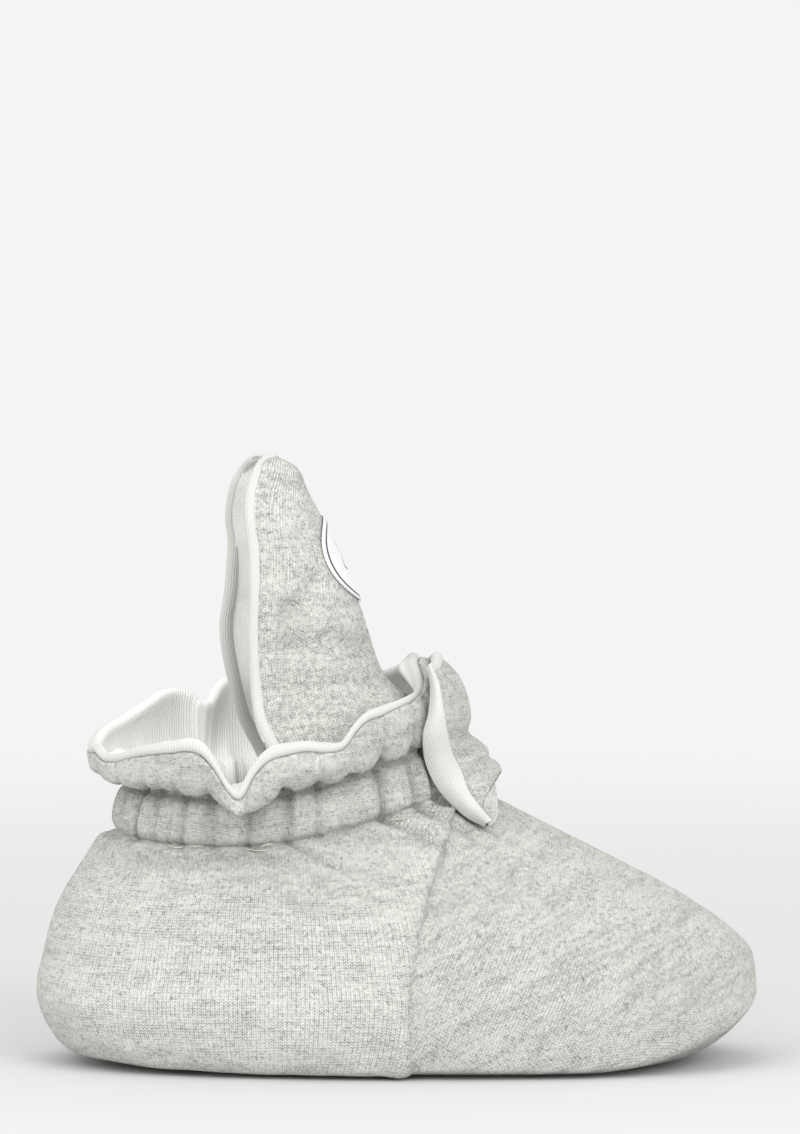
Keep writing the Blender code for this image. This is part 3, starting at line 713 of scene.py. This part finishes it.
def heel_panel(u, v):
    """The heel panel: u goes from the far side seam round the heel to the near one."""
    seam = side_seam_angle(v)
    angle = seam * (2.0 * u - 1.0)
    points, relief = body_relief(np.mod(angle, 360.0), v)
    to_edge = (1.0 - np.abs(2.0 * u - 1.0)) * seam * LAP_MM_PER_DEGREE
    edge = np.sqrt(np.clip(1.0 - (1.0 - np.clip(to_edge / 1.2, 0.0, 1.0)) ** 2, 0.0, 1.0))
    bead = BEAD_HEIGHT * np.exp(-((to_edge - 1.6) / 1.1) ** 2)
    lap = (SEAM_STEP * smooth(0.0, 0.10, v) + LAP_HEIGHT + bead) * smooth(1.0, 0.93, v)
    relief = relief + lap * edge - TURNED_DOWN * (1.0 - edge)
    return points + shell_normal(np.mod(angle, 360.0), v) * relief[:, None]


def toe_panel(u, v):
    """The toe panel: u goes from under the near lap over the toe to the far one."""
    seam = side_seam_angle(v) - TUCKED_DEGREES
    angle = seam + (360.0 - 2.0 * seam) * u
    points, relief = body_relief(angle, v)
    return points + shell_normal(angle, v) * relief[:, None]


def heel_pattern(net, across, upward):
    """Stitch columns that run straight up the sides: each row is measured to the same place."""
    middle = across.shape[1] // 2
    across = across - across[:, middle:middle + 1]
    reach = [np.interp(PATTERN_FROM_X, row[middle:, 0], line[middle:]) for row, line in zip(net, across)]
    return across * (PATTERN_RUN / np.array(reach))[:, None], upward


def toe_pattern(net, across, upward):
    """Stitch columns that run over the toe panel without pinching anywhere."""
    side = np.abs(net[..., 1])
    return net[..., 0] - 0.6 * side, net[..., 2] - 0.9 * side


quarter = cloth("quarter", 340, 110, heel_panel, KNIT_LEVEL, heel_pattern)
vamp = cloth("vamp", 240, 120, toe_panel, KNIT_SLANT, toe_pattern)

# %% [markdown]
# ## Casing and ruffle
#
# One strip of knit makes the casing that holds the elastic and the ruffle above it. The casing puffs
# out between its two rows of stitches, and the ruffle rolls outwards over the top row.

# %% Outside of the collar
COLLAR_START, COLLAR_END, CASING_PUFF = 0.985, 2.88, 1.5 * MM
EDGE_BULGE, EDGE_TUCK = 0.25 * MM, 0.9 * MM
COLLAR_RUN, PANEL_RISE = 0.0285, 0.041


def collar_relief(angle, w):
    """Puff of the casing, its two stitch ditches and the gathers."""
    middle = np.clip(1.0 - (2.0 * w - 3.0) ** 2, 0.0, 1.0)
    puff = np.where(w < 2.0, CASING_PUFF * middle ** 0.6, 0.0) * (0.5 + 0.5 * stitched(angle))
    low_row = stitched(angle) * np.exp(-((w - 1.0) * 8.0 / 0.8) ** 2)
    ditch = STITCH_DITCH * (low_row + np.exp(-((w - 2.0) * 8.0 / 0.8) ** 2))
    rounded = EDGE_BULGE * np.exp(-((w - 2.79) / 0.05) ** 2)
    tuck = EDGE_TUCK * smooth(COLLAR_END - 0.045, COLLAR_END, w)
    return puff - ditch - gathers(angle, w) - heel_pull(angle, w) + rounded - tuck


def collar_outside(u, v):
    """The strip from just under the lower stitches to the ditch below the rolled edge."""
    angle, w = 360.0 * u, COLLAR_START + (COLLAR_END - COLLAR_START) * v
    points = shell(angle, w)
    relief = collar_relief(angle, w) + lumps(points)
    return points + shell_normal(angle, w) * relief[:, None]


def collar_pattern(net, across, upward):
    """Stitch columns as close as in the heel panel, and rows that go on above its last one."""
    return across * (PATTERN_RUN / COLLAR_RUN), upward + PANEL_RISE


collar = cloth("collar", 420, 96, collar_outside, KNIT_COLLAR_LIT, collar_pattern, weld=True)

# %% [markdown]
# ## Rolled edges of tongue and flap
#
# On the tongue and the flap the lining comes over the edge as a soft, flat roll. It is a tube of cloth
# swept along the edge, squeezed across. A frame of three directions travels with it: along the edge,
# out of the cloth, and across.

# %% Tubes along an edge
TUBE_STEP = 0.0005


def welt(name, path, normal, radius, finish, around=18, flat=1.0):
    """A soft tube along a path: radius is one number for each point, flat squeezes it across."""
    path, normal, radius = (np.asarray(a, float) for a in (path, normal, radius))
    last = len(path) - 1
    ahead = unit(np.gradient(path, axis=0))
    normal = unit(normal - ahead * np.sum(normal * ahead, axis=1)[:, None])
    across = np.cross(ahead, normal)

    def place(u, v):
        spot = u * last
        low = np.minimum(np.floor(spot).astype(int), last)
        high, part = np.minimum(low + 1, last), (spot - low)[:, None]

        def between(data):
            return data[low] * (1.0 - part) + data[high] * part

        turn = 2.0 * math.pi * v
        size = between(radius[:, None])
        round_way = between(normal) * np.cos(turn)[:, None] + between(across) * (flat * np.sin(turn))[:, None]
        return between(path) + round_way * size

    length = np.sum(np.linalg.norm(np.diff(path, axis=0), axis=1))
    return cloth(name, max(40, int(length / TUBE_STEP)), around, place, finish, weld=True, turned=True)


def smoothed(path, times):
    """Round off the corners of a path."""
    for _ in range(times):
        path[1:-1] = (path[:-2] + 2.0 * path[1:-1] + path[2:]) / 4.0
    return path


# %% [markdown]
# ## The lining, from the rolled edge down to the sole
#
# The lining is cut a little larger than the outside and comes over the free edge as a soft roll, with a
# fine ditch where it meets the grey knit. Edge and inside are one sheet here, as in the real bootie, so
# no line shows on the inside. A small table gives the roll's section: along the cloth, and out of it.

# %% Lining of the shell
RollPoint = namedtuple("RollPoint", "share along out")
ROLL = (
    RollPoint(0.00, -1.75, -1.00),
    RollPoint(0.14, -1.70, -0.10),
    RollPoint(0.32, -1.05, 0.48),
    RollPoint(0.50, -0.20, 0.30),
    RollPoint(0.66, 0.40, -0.35),
    RollPoint(0.80, 0.42, -1.05),
    RollPoint(0.92, 0.00, -1.60),
    RollPoint(1.00, -0.70, -1.80),
)
ROLL_ROWS, INSIDE_ROWS, RUFFLE_RUN, ROLL_END, RING_RUN = 26, 112, 12.5, 0.70, 0.150


def shell_lining(u, v):
    """One sheet: v runs over the rolled edge first, then down the inside to the sole seam."""
    angle = 360.0 * u
    row = v * (ROLL_ROWS + INSIDE_ROWS)
    share = np.minimum(1.0, row / ROLL_ROWS)
    down = np.clip((row - ROLL_ROWS) / INSIDE_ROWS, 0.0, 1.0)
    along_cloth, out = (along(ROLL, "share", name, share) for name in ("along", "out"))
    roll_end = 3.0 - ROLL_END / RUFFLE_RUN
    w = np.where(share < 1.0, 3.0 + np.minimum(along_cloth, 0.0) / RUFFLE_RUN, roll_end)
    w = np.where(down > 0.0, roll_end * (1.0 - down), w)
    wall = (WALL + (RUFFLE_WALL - WALL) * smooth(2.0, 2.3, w)) / MM
    out = np.where(down > 0.0, -wall - 0.10 * smooth(0.12, 0.0, down), out)
    pressed = gathers(angle, w) / MM * (0.55 * smooth(0.8, 1.0, w) * smooth(2.9, 2.3, w))
    ahead = unit(shell(angle, np.full(w.shape, 3.0)) - shell(angle, np.full(w.shape, 2.97)))
    over = ahead * (np.maximum(along_cloth, 0.0) * (share < 1.0) * MM)[:, None]
    pulled = heel_pull(angle, w) / MM * smooth(2.9, 2.5, w)
    return shell(angle, w) + shell_normal(angle, w) * ((out - pressed - 0.8 * pulled) * MM)[:, None] + over


def lining_pattern(net, across, upward):
    """Ribs that run straight down, with as many in every row."""
    rows, columns = across.shape
    return np.tile(np.linspace(0.0, RING_RUN, columns), (rows, 1)), upward


lining = cloth("shell_lining", 420, ROLL_ROWS + INSIDE_ROWS, shell_lining, LINING_WRAPPED,
               lining_pattern, weld=True)

# %% [markdown]
# ## Stitches
#
# A row of short stitches holds the casing at its lower edge. Each stitch is a small bent piece of
# thread that dips into the cloth at both ends. Here and there a loose end of thread stands out: where it
# starts, how far it runs in millimetres, and whether it bends up or down.

# %% Stitch row and loose ends
STITCH_COUNT, THREAD_RADIUS, LOOSE_RADIUS = 96, 0.16 * MM, 0.11 * MM
THREAD_RISE, THREAD_SINK = 0.30 * MM, 0.38 * MM
THREAD = Finish("pale_thread")
twist = THREAD.noise(THREAD.place(), 2500.0, 1.0, 0.5)
THREAD_FINISH = THREAD.finish({"Base Color": THREAD.mix(twist, (0.60, 0.60, 0.53), (0.46, 0.46, 0.39)),
                               "Roughness": 0.8}, twist, 0.00005, 0.5)


def thread_row(u, v):
    """Every stitch in one strip: u runs along the row, v round the thread."""
    place = u * STITCH_COUNT
    within = place - np.floor(np.minimum(place, STITCH_COUNT - 1e-6))
    angle = 360.0 * u
    height = np.sin(math.pi * np.clip((within - 0.12) / 0.76, 0.0, 1.0)) ** 0.5
    w = np.full(u.shape, 1.0)
    sunk = gathers(angle, w) + heel_pull(angle, w) + STITCH_DITCH + 0.6 * MM * (1.0 - stitched(angle))
    turn = 2.0 * math.pi * v
    out = -sunk + THREAD_RISE * height - THREAD_SINK + THREAD_RADIUS * np.cos(turn)
    rise = np.array([0.0, 0.0, THREAD_RADIUS]) * np.sin(turn)[:, None]
    return shell(angle, w) + shell_normal(angle, w) * out[:, None] + rise


stitch_row = cloth("casing_stitches", STITCH_COUNT * 10, 8, thread_row, THREAD_FINISH, weld=True, turned=True)
LooseEnd = namedtuple("LooseEnd", "angle w run rise")
LOOSE_ENDS = (
    LooseEnd(52.0, 0.990, 2.4, -0.5),
    LooseEnd(60.0, 0.985, 1.8, 0.4),
    LooseEnd(78.0, 0.980, 3.2, -0.6),
    LooseEnd(83.0, 0.985, 2.0, 0.5),
    LooseEnd(125.0, 0.985, 1.6, -0.5),
)
for number, end in enumerate(LOOSE_ENDS):
    step = np.linspace(0.0, 1.0, 14)
    angle = end.angle + step * end.run / MM_PER_DEGREE
    w = end.w + end.rise * 0.03 * np.sin(2.4 * step)
    lift = (0.25 + 0.55 * np.sin(math.pi * step)) * MM - gathers(angle, w) * 0.6
    normal = shell_normal(angle, w)
    loose = welt(f"loose_thread_{number}", shell(angle, w) + normal * lift[:, None], normal,
                 np.full(14, LOOSE_RADIUS), THREAD_FINISH, around=6)

# %% [markdown]
# ## Tongue
#
# The tongue is a deep, cupped tongue of lined cloth that stands up in the front of the ankle. Its
# wings turn back towards the heel. A table gives its spine, depth and width from the ankle to the tip.

# %% Tongue table
TONGUE_THICKNESS, TONGUE_TOP, TONGUE_BASE = 0.0024, 0.1024, 0.0470
TONGUE_TURN, TONGUE_CLEARANCE = 8.0, 0.0005
TongueRow = namedtuple("TongueRow", "up spine_x depth half_width cup sag")
TONGUE_ROWS = (
    TongueRow(0.00, 0.078, 0.436, 0.428, 95.0, 0.105),
    TongueRow(0.13, 0.064, 0.418, 0.402, 98.0, 0.090),
    TongueRow(0.24, 0.018, 0.372, 0.372, 100.0, 0.050),
    TongueRow(0.34, -0.018, 0.318, 0.345, 100.0, 0.020),
    TongueRow(0.47, -0.039, 0.286, 0.330, 100.0, 0.000),
    TongueRow(0.57, -0.054, 0.256, 0.320, 100.0, 0.000),
    TongueRow(0.66, -0.072, 0.227, 0.300, 99.0, 0.000),
    TongueRow(0.74, -0.089, 0.201, 0.280, 98.0, 0.000),
    TongueRow(0.81, -0.102, 0.191, 0.262, 96.0, 0.000),
    TongueRow(0.90, -0.123, 0.158, 0.222, 92.0, 0.000),
    TongueRow(0.955, -0.133, 0.131, 0.182, 88.0, 0.000),
    TongueRow(0.985, -0.145, 0.104, 0.138, 84.0, 0.000),
    TongueRow(1.00, -0.160, 0.066, 0.070, 80.0, 0.000),
)


def tongue_point(across, up, depth):
    """A point of the tongue: across is -1 at the near edge and 1 at the far one, depth is inwards."""
    row = {name: along(TONGUE_ROWS, "up", name, up) for name in TongueRow._fields[1:]}
    degrees = row["cup"] * across + TONGUE_TURN * smooth(0.1, 0.5, up) * (1.0 + across)
    degrees = degrees + (1.5 + 2.0 * smooth(0.30, 0.16, up)) * (1.0 - across)
    turn = np.radians(degrees)
    back, half = row["depth"] * ANKLE_LENGTH, row["half_width"] * ANKLE_WIDTH
    x = row["spine_x"] * LENGTH - back * (1.0 - np.cos(turn))
    z = TONGUE_BASE + (TONGUE_TOP - TONGUE_BASE) * up - row["sag"] * ANKLE_LENGTH * (1.0 - np.cos(turn))
    free = np.stack([x, half * np.sin(turn) + swing(x), z], axis=-1)
    w = np.minimum(2.0, 1.1 + up * 0.9 / 0.13)
    seat = shell(180.0 + degrees, w) - shell_normal(180.0 + degrees, w) * (WALL + TONGUE_CLEARANCE)
    seat[:, 2] += np.maximum(0.0, up - 0.13) * (TONGUE_TOP - TONGUE_BASE)
    share = smooth(0.09, 0.34, up)[:, None]
    inward = unit(np.stack([-np.cos(turn) * half, -np.sin(turn) * back, np.zeros(len(turn))], axis=-1))
    return free * share + seat * (1.0 - share) + inward * np.asarray(depth)[..., None]


# %% Folds of the tongue
TongueFold = namedtuple("TongueFold", "across0 up0 across1 up1 width height")
TONGUE_FOLDS = (
    TongueFold(-0.57, 0.625, -0.76, 0.55, 1.6, -1.20),
    TongueFold(-0.76, 0.55, -0.77, 0.44, 1.6, -1.30),
    TongueFold(-0.77, 0.44, -0.79, 0.30, 1.8, -1.10),
    TongueFold(-0.66, 0.52, -0.35, 0.50, 2.2, 0.80),
    TongueFold(-0.66, 0.375, -0.30, 0.36, 2.2, 0.70),
    TongueFold(-0.60, 0.44, -0.20, 0.42, 1.8, -0.50),
    TongueFold(-0.90, 0.60, -0.90, 0.30, 1.6, 0.50),
    TongueFold(-0.30, 0.80, -0.62, 0.74, 2.4, -0.45),
    TongueFold(0.30, 0.46, 0.50, 0.22, 2.2, -0.50),
    TongueFold(0.45, 0.70, 0.75, 0.55, 2.2, 0.40),
)
LINING_FOLDS = (
    TongueFold(0.10, 0.86, 0.40, 0.91, 1.1, 0.35),
    TongueFold(0.10, 0.79, 0.42, 0.83, 1.2, 0.35),
    TongueFold(0.20, 0.60, 0.30, 0.20, 2.4, 0.40),
    TongueFold(0.30, 0.45, 0.34, 0.12, 2.0, -0.60),
)
print("tongue folds:", len(TONGUE_FOLDS), "outside and", len(LINING_FOLDS), "inside")


def tongue_folds(across, up, rows=TONGUE_FOLDS):
    """Soft folds on the tongue: shares across and up, width and height in millimetres."""
    relief = np.zeros(len(across))
    wide, tall = 24.0, 55.0
    for row in rows:
        run, rise = (row.across1 - row.across0) * wide, (row.up1 - row.up0) * tall
        x, z = (across - row.across0) * wide, (up - row.up0) * tall
        share = np.clip((x * run + z * rise) / (run * run + rise * rise), 0.0, 1.0)
        away = np.hypot(x - share * run, z - share * rise) / row.width
        relief += row.height * np.exp(-away ** 2)
    return relief * MM


def tongue_outside(u, v):
    across = 2.0 * u - 1.0
    tuck = 0.6 * MM * (smooth(-0.925, -0.965, across) + smooth(0.95, 1.0, across) + smooth(0.965, 0.99, v))
    return tongue_point(across, v, tuck - tongue_folds(across, v))


def tongue_inside(u, v):
    across = 2.0 * u - 1.0
    thick = TONGUE_THICKNESS * (1.0 - 0.45 * smooth(0.90, 1.0, v))
    folds = 0.6 * tongue_folds(across, v) - tongue_folds(across, v, LINING_FOLDS)
    return tongue_point(across, v, thick - folds * smooth(1.0, 0.85, np.abs(across)))


tongue = cloth("tongue_outer", 180, 150, tongue_outside, KNIT_COARSE)
tongue_lining = cloth("tongue_lining", 130, 130, tongue_inside, LINING_PAINTED_LIGHT, turned=True)

# %% Roll round the tongue
EDGE_POINTS, TIP_POINTS, NEAR_EDGE, FAR_EDGE, ROLL_SHARE = 110, 10, -0.972, 0.985, 0.46
rise = np.linspace(0.0, 1.0, EDGE_POINTS)
over = np.linspace(-1.0, 1.0, TIP_POINTS + 2)[1:-1]
rim_across = np.concatenate([np.full(EDGE_POINTS, NEAR_EDGE), 0.97 * over, np.full(EDGE_POINTS, FAR_EDGE)])
rim_up = np.concatenate([rise, np.ones(TIP_POINTS), rise[::-1]])
rim_thick = TONGUE_THICKNESS * (1.0 - 0.45 * smooth(0.90, 1.0, rim_up))
hidden = np.concatenate([np.zeros(EDGE_POINTS + TIP_POINTS), 0.35 * smooth(0.80, 0.55, rise[::-1])])
rim = smoothed(tongue_point(rim_across, rim_up, (ROLL_SHARE + hidden) * rim_thick), 6)
rim_out = rim - tongue_point(rim_across, rim_up, rim_thick * 1.5)
tongue_welt = welt("tongue_welt", rim, rim_out, ROLL_SHARE * rim_thick, LINING_ROLL_SHADED, flat=1.05)

# %% [markdown]
# ## Wrap flap
#
# The far side's front end is not sewn down. It wraps over the front of the ankle and closes there,
# and its free end curls outwards, so that a leaf of the white lining shows. One table gives the leaf's
# root and its free edge in millimetres. The other says how far the grey outside stands out in lobes.

# %% Flap shape
FLAP_THICKNESS, FLAP_LOW, FLAP_HIGH = 0.0024, 0.985, 2.70
KNIT_START, LINING_START, FLAP_FADE, FLAP_FAR_END = 146.0, 150.0, 188.0, 216.0
LEAF_SHARE, KNIT_SHARE, LEAF_CROWN, FLAP_LIFT, FLAP_SINK = 0.35, 0.42, 1.25 * MM, 1.3, 0.7 * MM
Leaf = namedtuple("Leaf", "up root_x root_y root_z edge_x edge_y edge_z")
LEAF = (
    Leaf(0.00, 14.6, -13.9, 41.2, 16.0, -15.4, 42.4),
    Leaf(0.10, 11.6, -14.1, 42.8, 14.0, -15.8, 44.8),
    Leaf(0.22, 8.4, -13.2, 45.6, 12.2, -14.9, 47.2),
    Leaf(0.36, 6.2, -13.4, 48.6, 11.0, -14.0, 50.2),
    Leaf(0.50, 4.7, -14.0, 52.4, 9.4, -14.6, 53.6),
    Leaf(0.64, 4.4, -15.4, 56.6, 8.5, -15.9, 57.4),
    Leaf(0.78, 5.3, -14.6, 60.4, 7.9, -16.2, 61.2),
    Leaf(0.90, 5.6, -12.0, 64.2, 7.1, -14.6, 65.4),
    Leaf(1.00, 5.2, -8.6, 66.9, 5.8, -10.2, 68.4),
)
Swell = namedtuple("Swell", "w out")
FLAP_SWELLS = (
    Swell(0.88, 0.8),
    Swell(1.02, 2.3),
    Swell(1.20, 2.3),
    Swell(1.38, 1.1),
    Swell(1.55, 1.2),
    Swell(1.75, 0.2),
    Swell(1.90, -0.8),
    Swell(2.05, -1.2),
    Swell(2.20, -0.4),
    Swell(2.45, -0.6),
    Swell(2.62, -1.5),
    Swell(2.75, -2.2),
)
print("flap: a leaf of", len(LEAF), "rows and", len(FLAP_SWELLS), "lobes")


def leaf_line(part, up):
    """The leaf's root line or its free edge, in metres."""
    return np.stack([along(LEAF, "up", f"{part}_{axis}", up) for axis in "xyz"], axis=-1) * MM


def flap_body(angle, up, lift):
    """The part of the flap that lies round the front of the ankle."""
    low = FLAP_LOW - 0.085 * smooth(178.0, 150.0, angle)
    w = low + (FLAP_HIGH - low) * up
    swell = along(FLAP_SWELLS, "w", "out", w) * (lift / FLAP_THICKNESS)
    kept = 1.0 - smooth(FLAP_FADE, FLAP_FAR_END, angle)
    offset = ((FLAP_LIFT + swell) * MM + lift) * kept - FLAP_SINK * (1.0 - kept)
    return shell(angle, w) + shell_normal(angle, w) * offset[:, None]


def flap_outside(u, v):
    """Grey knit from the free edge round the front."""
    lift = np.full(len(u), FLAP_THICKNESS)
    body = flap_body(KNIT_START + (FLAP_FAR_END - KNIT_START) * u, v, lift)
    share = smooth(0.0, KNIT_SHARE, u)[:, None]
    inward = 0.45 * MM * (smooth(0.03, 0.0, v) + smooth(0.97, 1.0, v))
    tucked = leaf_line("edge", v) + np.array([0.0, 0.2 * MM, 0.0])
    out = shell_normal(np.full(len(u), 180.0), 1.0 + v)
    return tucked * (1.0 - share) + body * share - out * inward[:, None]


def flap_inside(u, v):
    """White leaf from the free edge to its root, then the hidden inside round the front."""
    edge, root = leaf_line("edge", v), leaf_line("root", v)
    share = np.clip(u / LEAF_SHARE, 0.0, 1.0)
    crown = np.sin(math.pi * share) ** 0.8 * (1.0 - 0.35 * share)
    leaf = edge * (1.0 - share)[:, None] + root * share[:, None]
    leaf = leaf + np.array([-0.25, -0.95, 0.1]) * (crown * LEAF_CROWN)[:, None]
    back = np.clip((u - LEAF_SHARE) / (1.0 - LEAF_SHARE), 0.0, 1.0)
    body = flap_body(LINING_START + (FLAP_FAR_END - LINING_START) * back, v, np.zeros(len(u)))
    turned_in = smooth(0.0, 0.3, back)[:, None]
    return np.where((u > LEAF_SHARE)[:, None], root * (1.0 - turned_in) + body * turned_in, leaf)


def flap_pattern(net, across, upward):
    """The two lengths change places, so that the ribs run along the leaf."""
    return upward, across


flap = cloth("flap_outer", 120, 110, flap_outside, KNIT_LEVEL)
flap_lining = cloth("flap_lining", 140, 100, flap_inside, LINING_ROLL_SHADED, flap_pattern, turned=True)

# %% Roll along the flap's top and bottom
REACH_POINTS = 70
reach = np.linspace(0.0, 1.0, REACH_POINTS)
for name, level, size in (("flap_roll_top", 1.0, 1.0), ("flap_roll_bottom", 0.0, 0.8)):
    up = np.full(REACH_POINTS, level)
    outer, inner = flap_outside(reach, up), flap_inside(LEAF_SHARE + (1.0 - LEAF_SHARE) * reach, up)
    taper = size * MM * (0.35 + 0.65 * smooth(0.0, 0.15, reach))
    roll = welt(name, smoothed(0.5 * (outer + inner), 4), outer - inner, taper, LINING_ROLL_SHADED)

# %% [markdown]
# ## Sole and insole
#
# The sole is a soft pad of the same knit. It is flat under the heel and the ball of the foot, and its
# rim turns up at the toe to meet the upper. The insole is a thinner pad that lies on it.

# %% Pads
SOLE_THICKNESS, SOLE_FLAT_SHARE, SOLE_CURL = 0.0030, 0.58, 3.6
INSOLE_THICKNESS, INSOLE_SHARE, GAP = 0.0018, 0.90, 0.0003


def sole_point(angle, share, top, lift=0.0):
    """A point of the sole: share is 0 in the middle and 1 at the rim, top is 0 below and 1 above."""
    none = np.zeros(angle.shape)
    rim = shell(angle, none) + unit(shell(angle, none) - shell(angle, none + 0.02)) * GAP
    rim = rim - shell_normal(angle, none) * (WALL * top)[:, None]
    curl = (np.maximum(0.0, share - SOLE_FLAT_SHARE) / (1.0 - SOLE_FLAT_SHARE)) ** SOLE_CURL
    flat = SOLE_THICKNESS * top
    return np.stack([rim[:, 0] * share, rim[:, 1] * share, flat + (rim[:, 2] - flat) * curl + lift], axis=-1)


def sole_pad(u, v):
    """Out along the bottom, round the rim and back over the top."""
    share = np.minimum(1.0, 1.03 * (1.0 - np.abs(2.0 * v - 1.0)))
    return sole_point(360.0 * u, share, smooth(0.49, 0.51, v))


def insole_pad(u, v):
    """The same way round, a little inside the rim and on top of the sole."""
    share = INSOLE_SHARE * np.minimum(1.0, 1.06 * (1.0 - np.abs(2.0 * v - 1.0)))
    top = smooth(0.46, 0.54, v)
    return sole_point(360.0 * u, share, np.ones(len(u)), GAP + INSOLE_THICKNESS * top)


SOLE_KNIT = knit("sole_knit", 0.0, shade=0.96)
sole = cloth("sole_pad", 240, 120, sole_pad, SOLE_KNIT, weld=True, turned=True)
insole = cloth("insole_pad", 160, 80, insole_pad, LINING, weld=True, turned=True)

# %% [markdown]
# ## Badge
#
# A small white patch sits on the front of the tongue. It has a thin dark outline, and a plain
# five-pointed star drawn in the same thin line.

# %% Badge patch
BADGE_WIDTH, BADGE_HEIGHT, BADGE_UP, BADGE_THICKNESS = 0.0180, 0.0145, 0.690, 0.0006


def badge_place(u, v):
    """A round sheet on the tongue's front: u goes round it, v from the back over the edge to the front."""
    cup = math.radians(float(along(TONGUE_ROWS, "up", "cup", np.array([BADGE_UP]))[0]))
    half_width = float(along(TONGUE_ROWS, "up", "half_width", np.array([BADGE_UP]))[0])
    half_across = 0.5 * BADGE_WIDTH / (cup * half_width * ANKLE_WIDTH)
    half_up = 0.5 * BADGE_HEIGHT / (TONGUE_TOP - TONGUE_BASE)
    share = np.minimum(1.0, 1.04 * (1.0 - np.abs(2.0 * v - 1.0)))
    turn = 2.0 * math.pi * u
    depth = -(0.5 * GAP + 0.6 * BADGE_THICKNESS * smooth(0.47, 0.53, v))
    return tongue_point(half_across * share * np.cos(turn), BADGE_UP + half_up * share * np.sin(turn), depth)


def badge_pattern(net, across, upward):
    """The patch's own two directions, from -1 to 1 between its edges."""
    rows, columns = across.shape
    turn = np.linspace(0.0, 2.0 * math.pi, columns)[None, :]
    share = np.minimum(1.0, 1.04 * (1.0 - np.abs(2.0 * np.linspace(0.0, 1.0, rows) - 1.0)))[:, None]
    return share * np.cos(turn), share * np.sin(turn)


def badge_finish():
    """White patch with its outline and the star's outline in thin dark ink."""
    patch = Finish("badge_print")
    x, y = patch.cloth_lengths()
    x = x * (BADGE_WIDTH / BADGE_HEIGHT)
    away = (x * x + y * y) ** 0.5
    turn = y.math("ARCTAN2", x) / (2.0 * math.pi) + 0.55
    point = ((turn * 5.0).math("FRACT") - 0.5).math("ABSOLUTE") * 2.0
    star = away - (0.24 + (1.0 - point) * 0.30)
    line = 1.0 - star.math("ABSOLUTE").ramp(0.018, 0.04)
    rim_x, rim_y = patch.cloth_lengths()
    from_ring = ((rim_x * rim_x + rim_y * rim_y) ** 0.5 - 0.90).math("ABSOLUTE")
    ring = 1.0 - from_ring.ramp(0.012, 0.035)
    ink = line.math("MAXIMUM", ring)
    fuzz = patch.noise(patch.place(), 2400.0, 2.0, 0.6)
    colour = patch.mix(ink, (0.70, 0.71, 0.70), (0.02, 0.025, 0.035))
    return patch.finish({"Base Color": colour, "Roughness": 0.7}, fuzz, 0.00006, 0.6)


badge = cloth("badge_patch", 96, 48, badge_place, badge_finish(), badge_pattern, weld=True, turned=True)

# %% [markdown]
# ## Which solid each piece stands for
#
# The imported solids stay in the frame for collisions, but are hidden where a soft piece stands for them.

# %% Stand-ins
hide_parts("upper")
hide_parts("tongue")
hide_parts("wrap_flap")
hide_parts("sole")
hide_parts("insole")
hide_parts("badge")
print("six solids have their soft pieces")

# %% [markdown]
# ## Floor, light and camera
#
# The bootie stands on pale paper in a bright, even studio. The floor is a wide disc that fades out
# into the equally bright world, so no horizon shows. The camera looks from the side, a little from
# above, with a long lens.

# %% Floor
PAPER_GREY, FADE_FROM, FADE_TO = 0.635, 0.10, 0.60
disc = bmesh.new()
bmesh.ops.create_circle(disc, cap_ends=True, segments=96, radius=4.0)
floor_mesh = bpy.data.meshes.new("floor")
disc.to_mesh(floor_mesh)
disc.free()
floor = bpy.data.objects.new("floor", floor_mesh)
bpy.context.scene.collection.objects.link(floor)
paper = Finish("pale_paper")
spot = paper.place(stretch=(1.0, 1.0, 0.0))
far = paper.node("ShaderNodeVectorMath", {"operation": "LENGTH"}, {0: spot}, output="Value")
floor_mesh.materials.append(paper.finish({
    "Base Color": (PAPER_GREY, PAPER_GREY, PAPER_GREY, 1.0), "Roughness": 1.0,
    "Specular IOR Level": 0.0, "Alpha": 1.0 - far.ramp(FADE_FROM, FADE_TO)}))
print("floor: fades out from", FADE_FROM, "to", FADE_TO, "metres")

# %% Light
STUDIO_WHITE = 0.905
world = bpy.data.worlds.new("studio")
bpy.context.scene.world = world
world.use_nodes = True
background = world.node_tree.nodes["Background"]
background.inputs["Color"].default_value = (STUDIO_WHITE, STUDIO_WHITE, STUDIO_WHITE, 1.0)
background.inputs["Strength"].default_value = 1.0


def softbox(name, place, aim, size, power):
    """A square studio light that looks at a point."""
    data = bpy.data.lights.new(name, "AREA")
    data.shape, data.size, data.energy = "SQUARE", size, power
    lamp = bpy.data.objects.new(name, data)
    lamp.location = place
    lamp.rotation_euler = (Vector(aim) - Vector(place)).to_track_quat("-Z", "Y").to_euler()
    bpy.context.scene.collection.objects.link(lamp)
    print(name, power, "watts")


softbox("front_right", (0.55, -0.85, 0.50), (0.0, 0.0, 0.04), 0.8, 6.8)
softbox("front_left", (-0.65, -0.80, 0.55), (0.0, 0.0, 0.04), 0.8, 5.2)
softbox("overhead", (-0.10, -0.10, 1.2), (0.0, 0.0, 0.03), 0.8, 2.0)

# %% Camera
SIGHT, PITCH, AWAY, ASIDE = math.radians(8.0), math.radians(3.64), 1.1, 0.0006
lens = bpy.data.cameras.new("camera")
lens.sensor_width, lens.lens = 36.0, 205.2
camera = bpy.data.objects.new("camera", lens)
camera.location = (ASIDE, -AWAY * math.cos(SIGHT), AWAY * math.sin(SIGHT))
camera.rotation_euler = (math.pi / 2.0 - PITCH, 0.0, 0.0)
bpy.context.scene.collection.objects.link(camera)
bpy.context.scene.camera = camera
bpy.context.scene.view_settings.view_transform = "Standard"
print("camera:", AWAY, "metres away, lens", lens.lens)
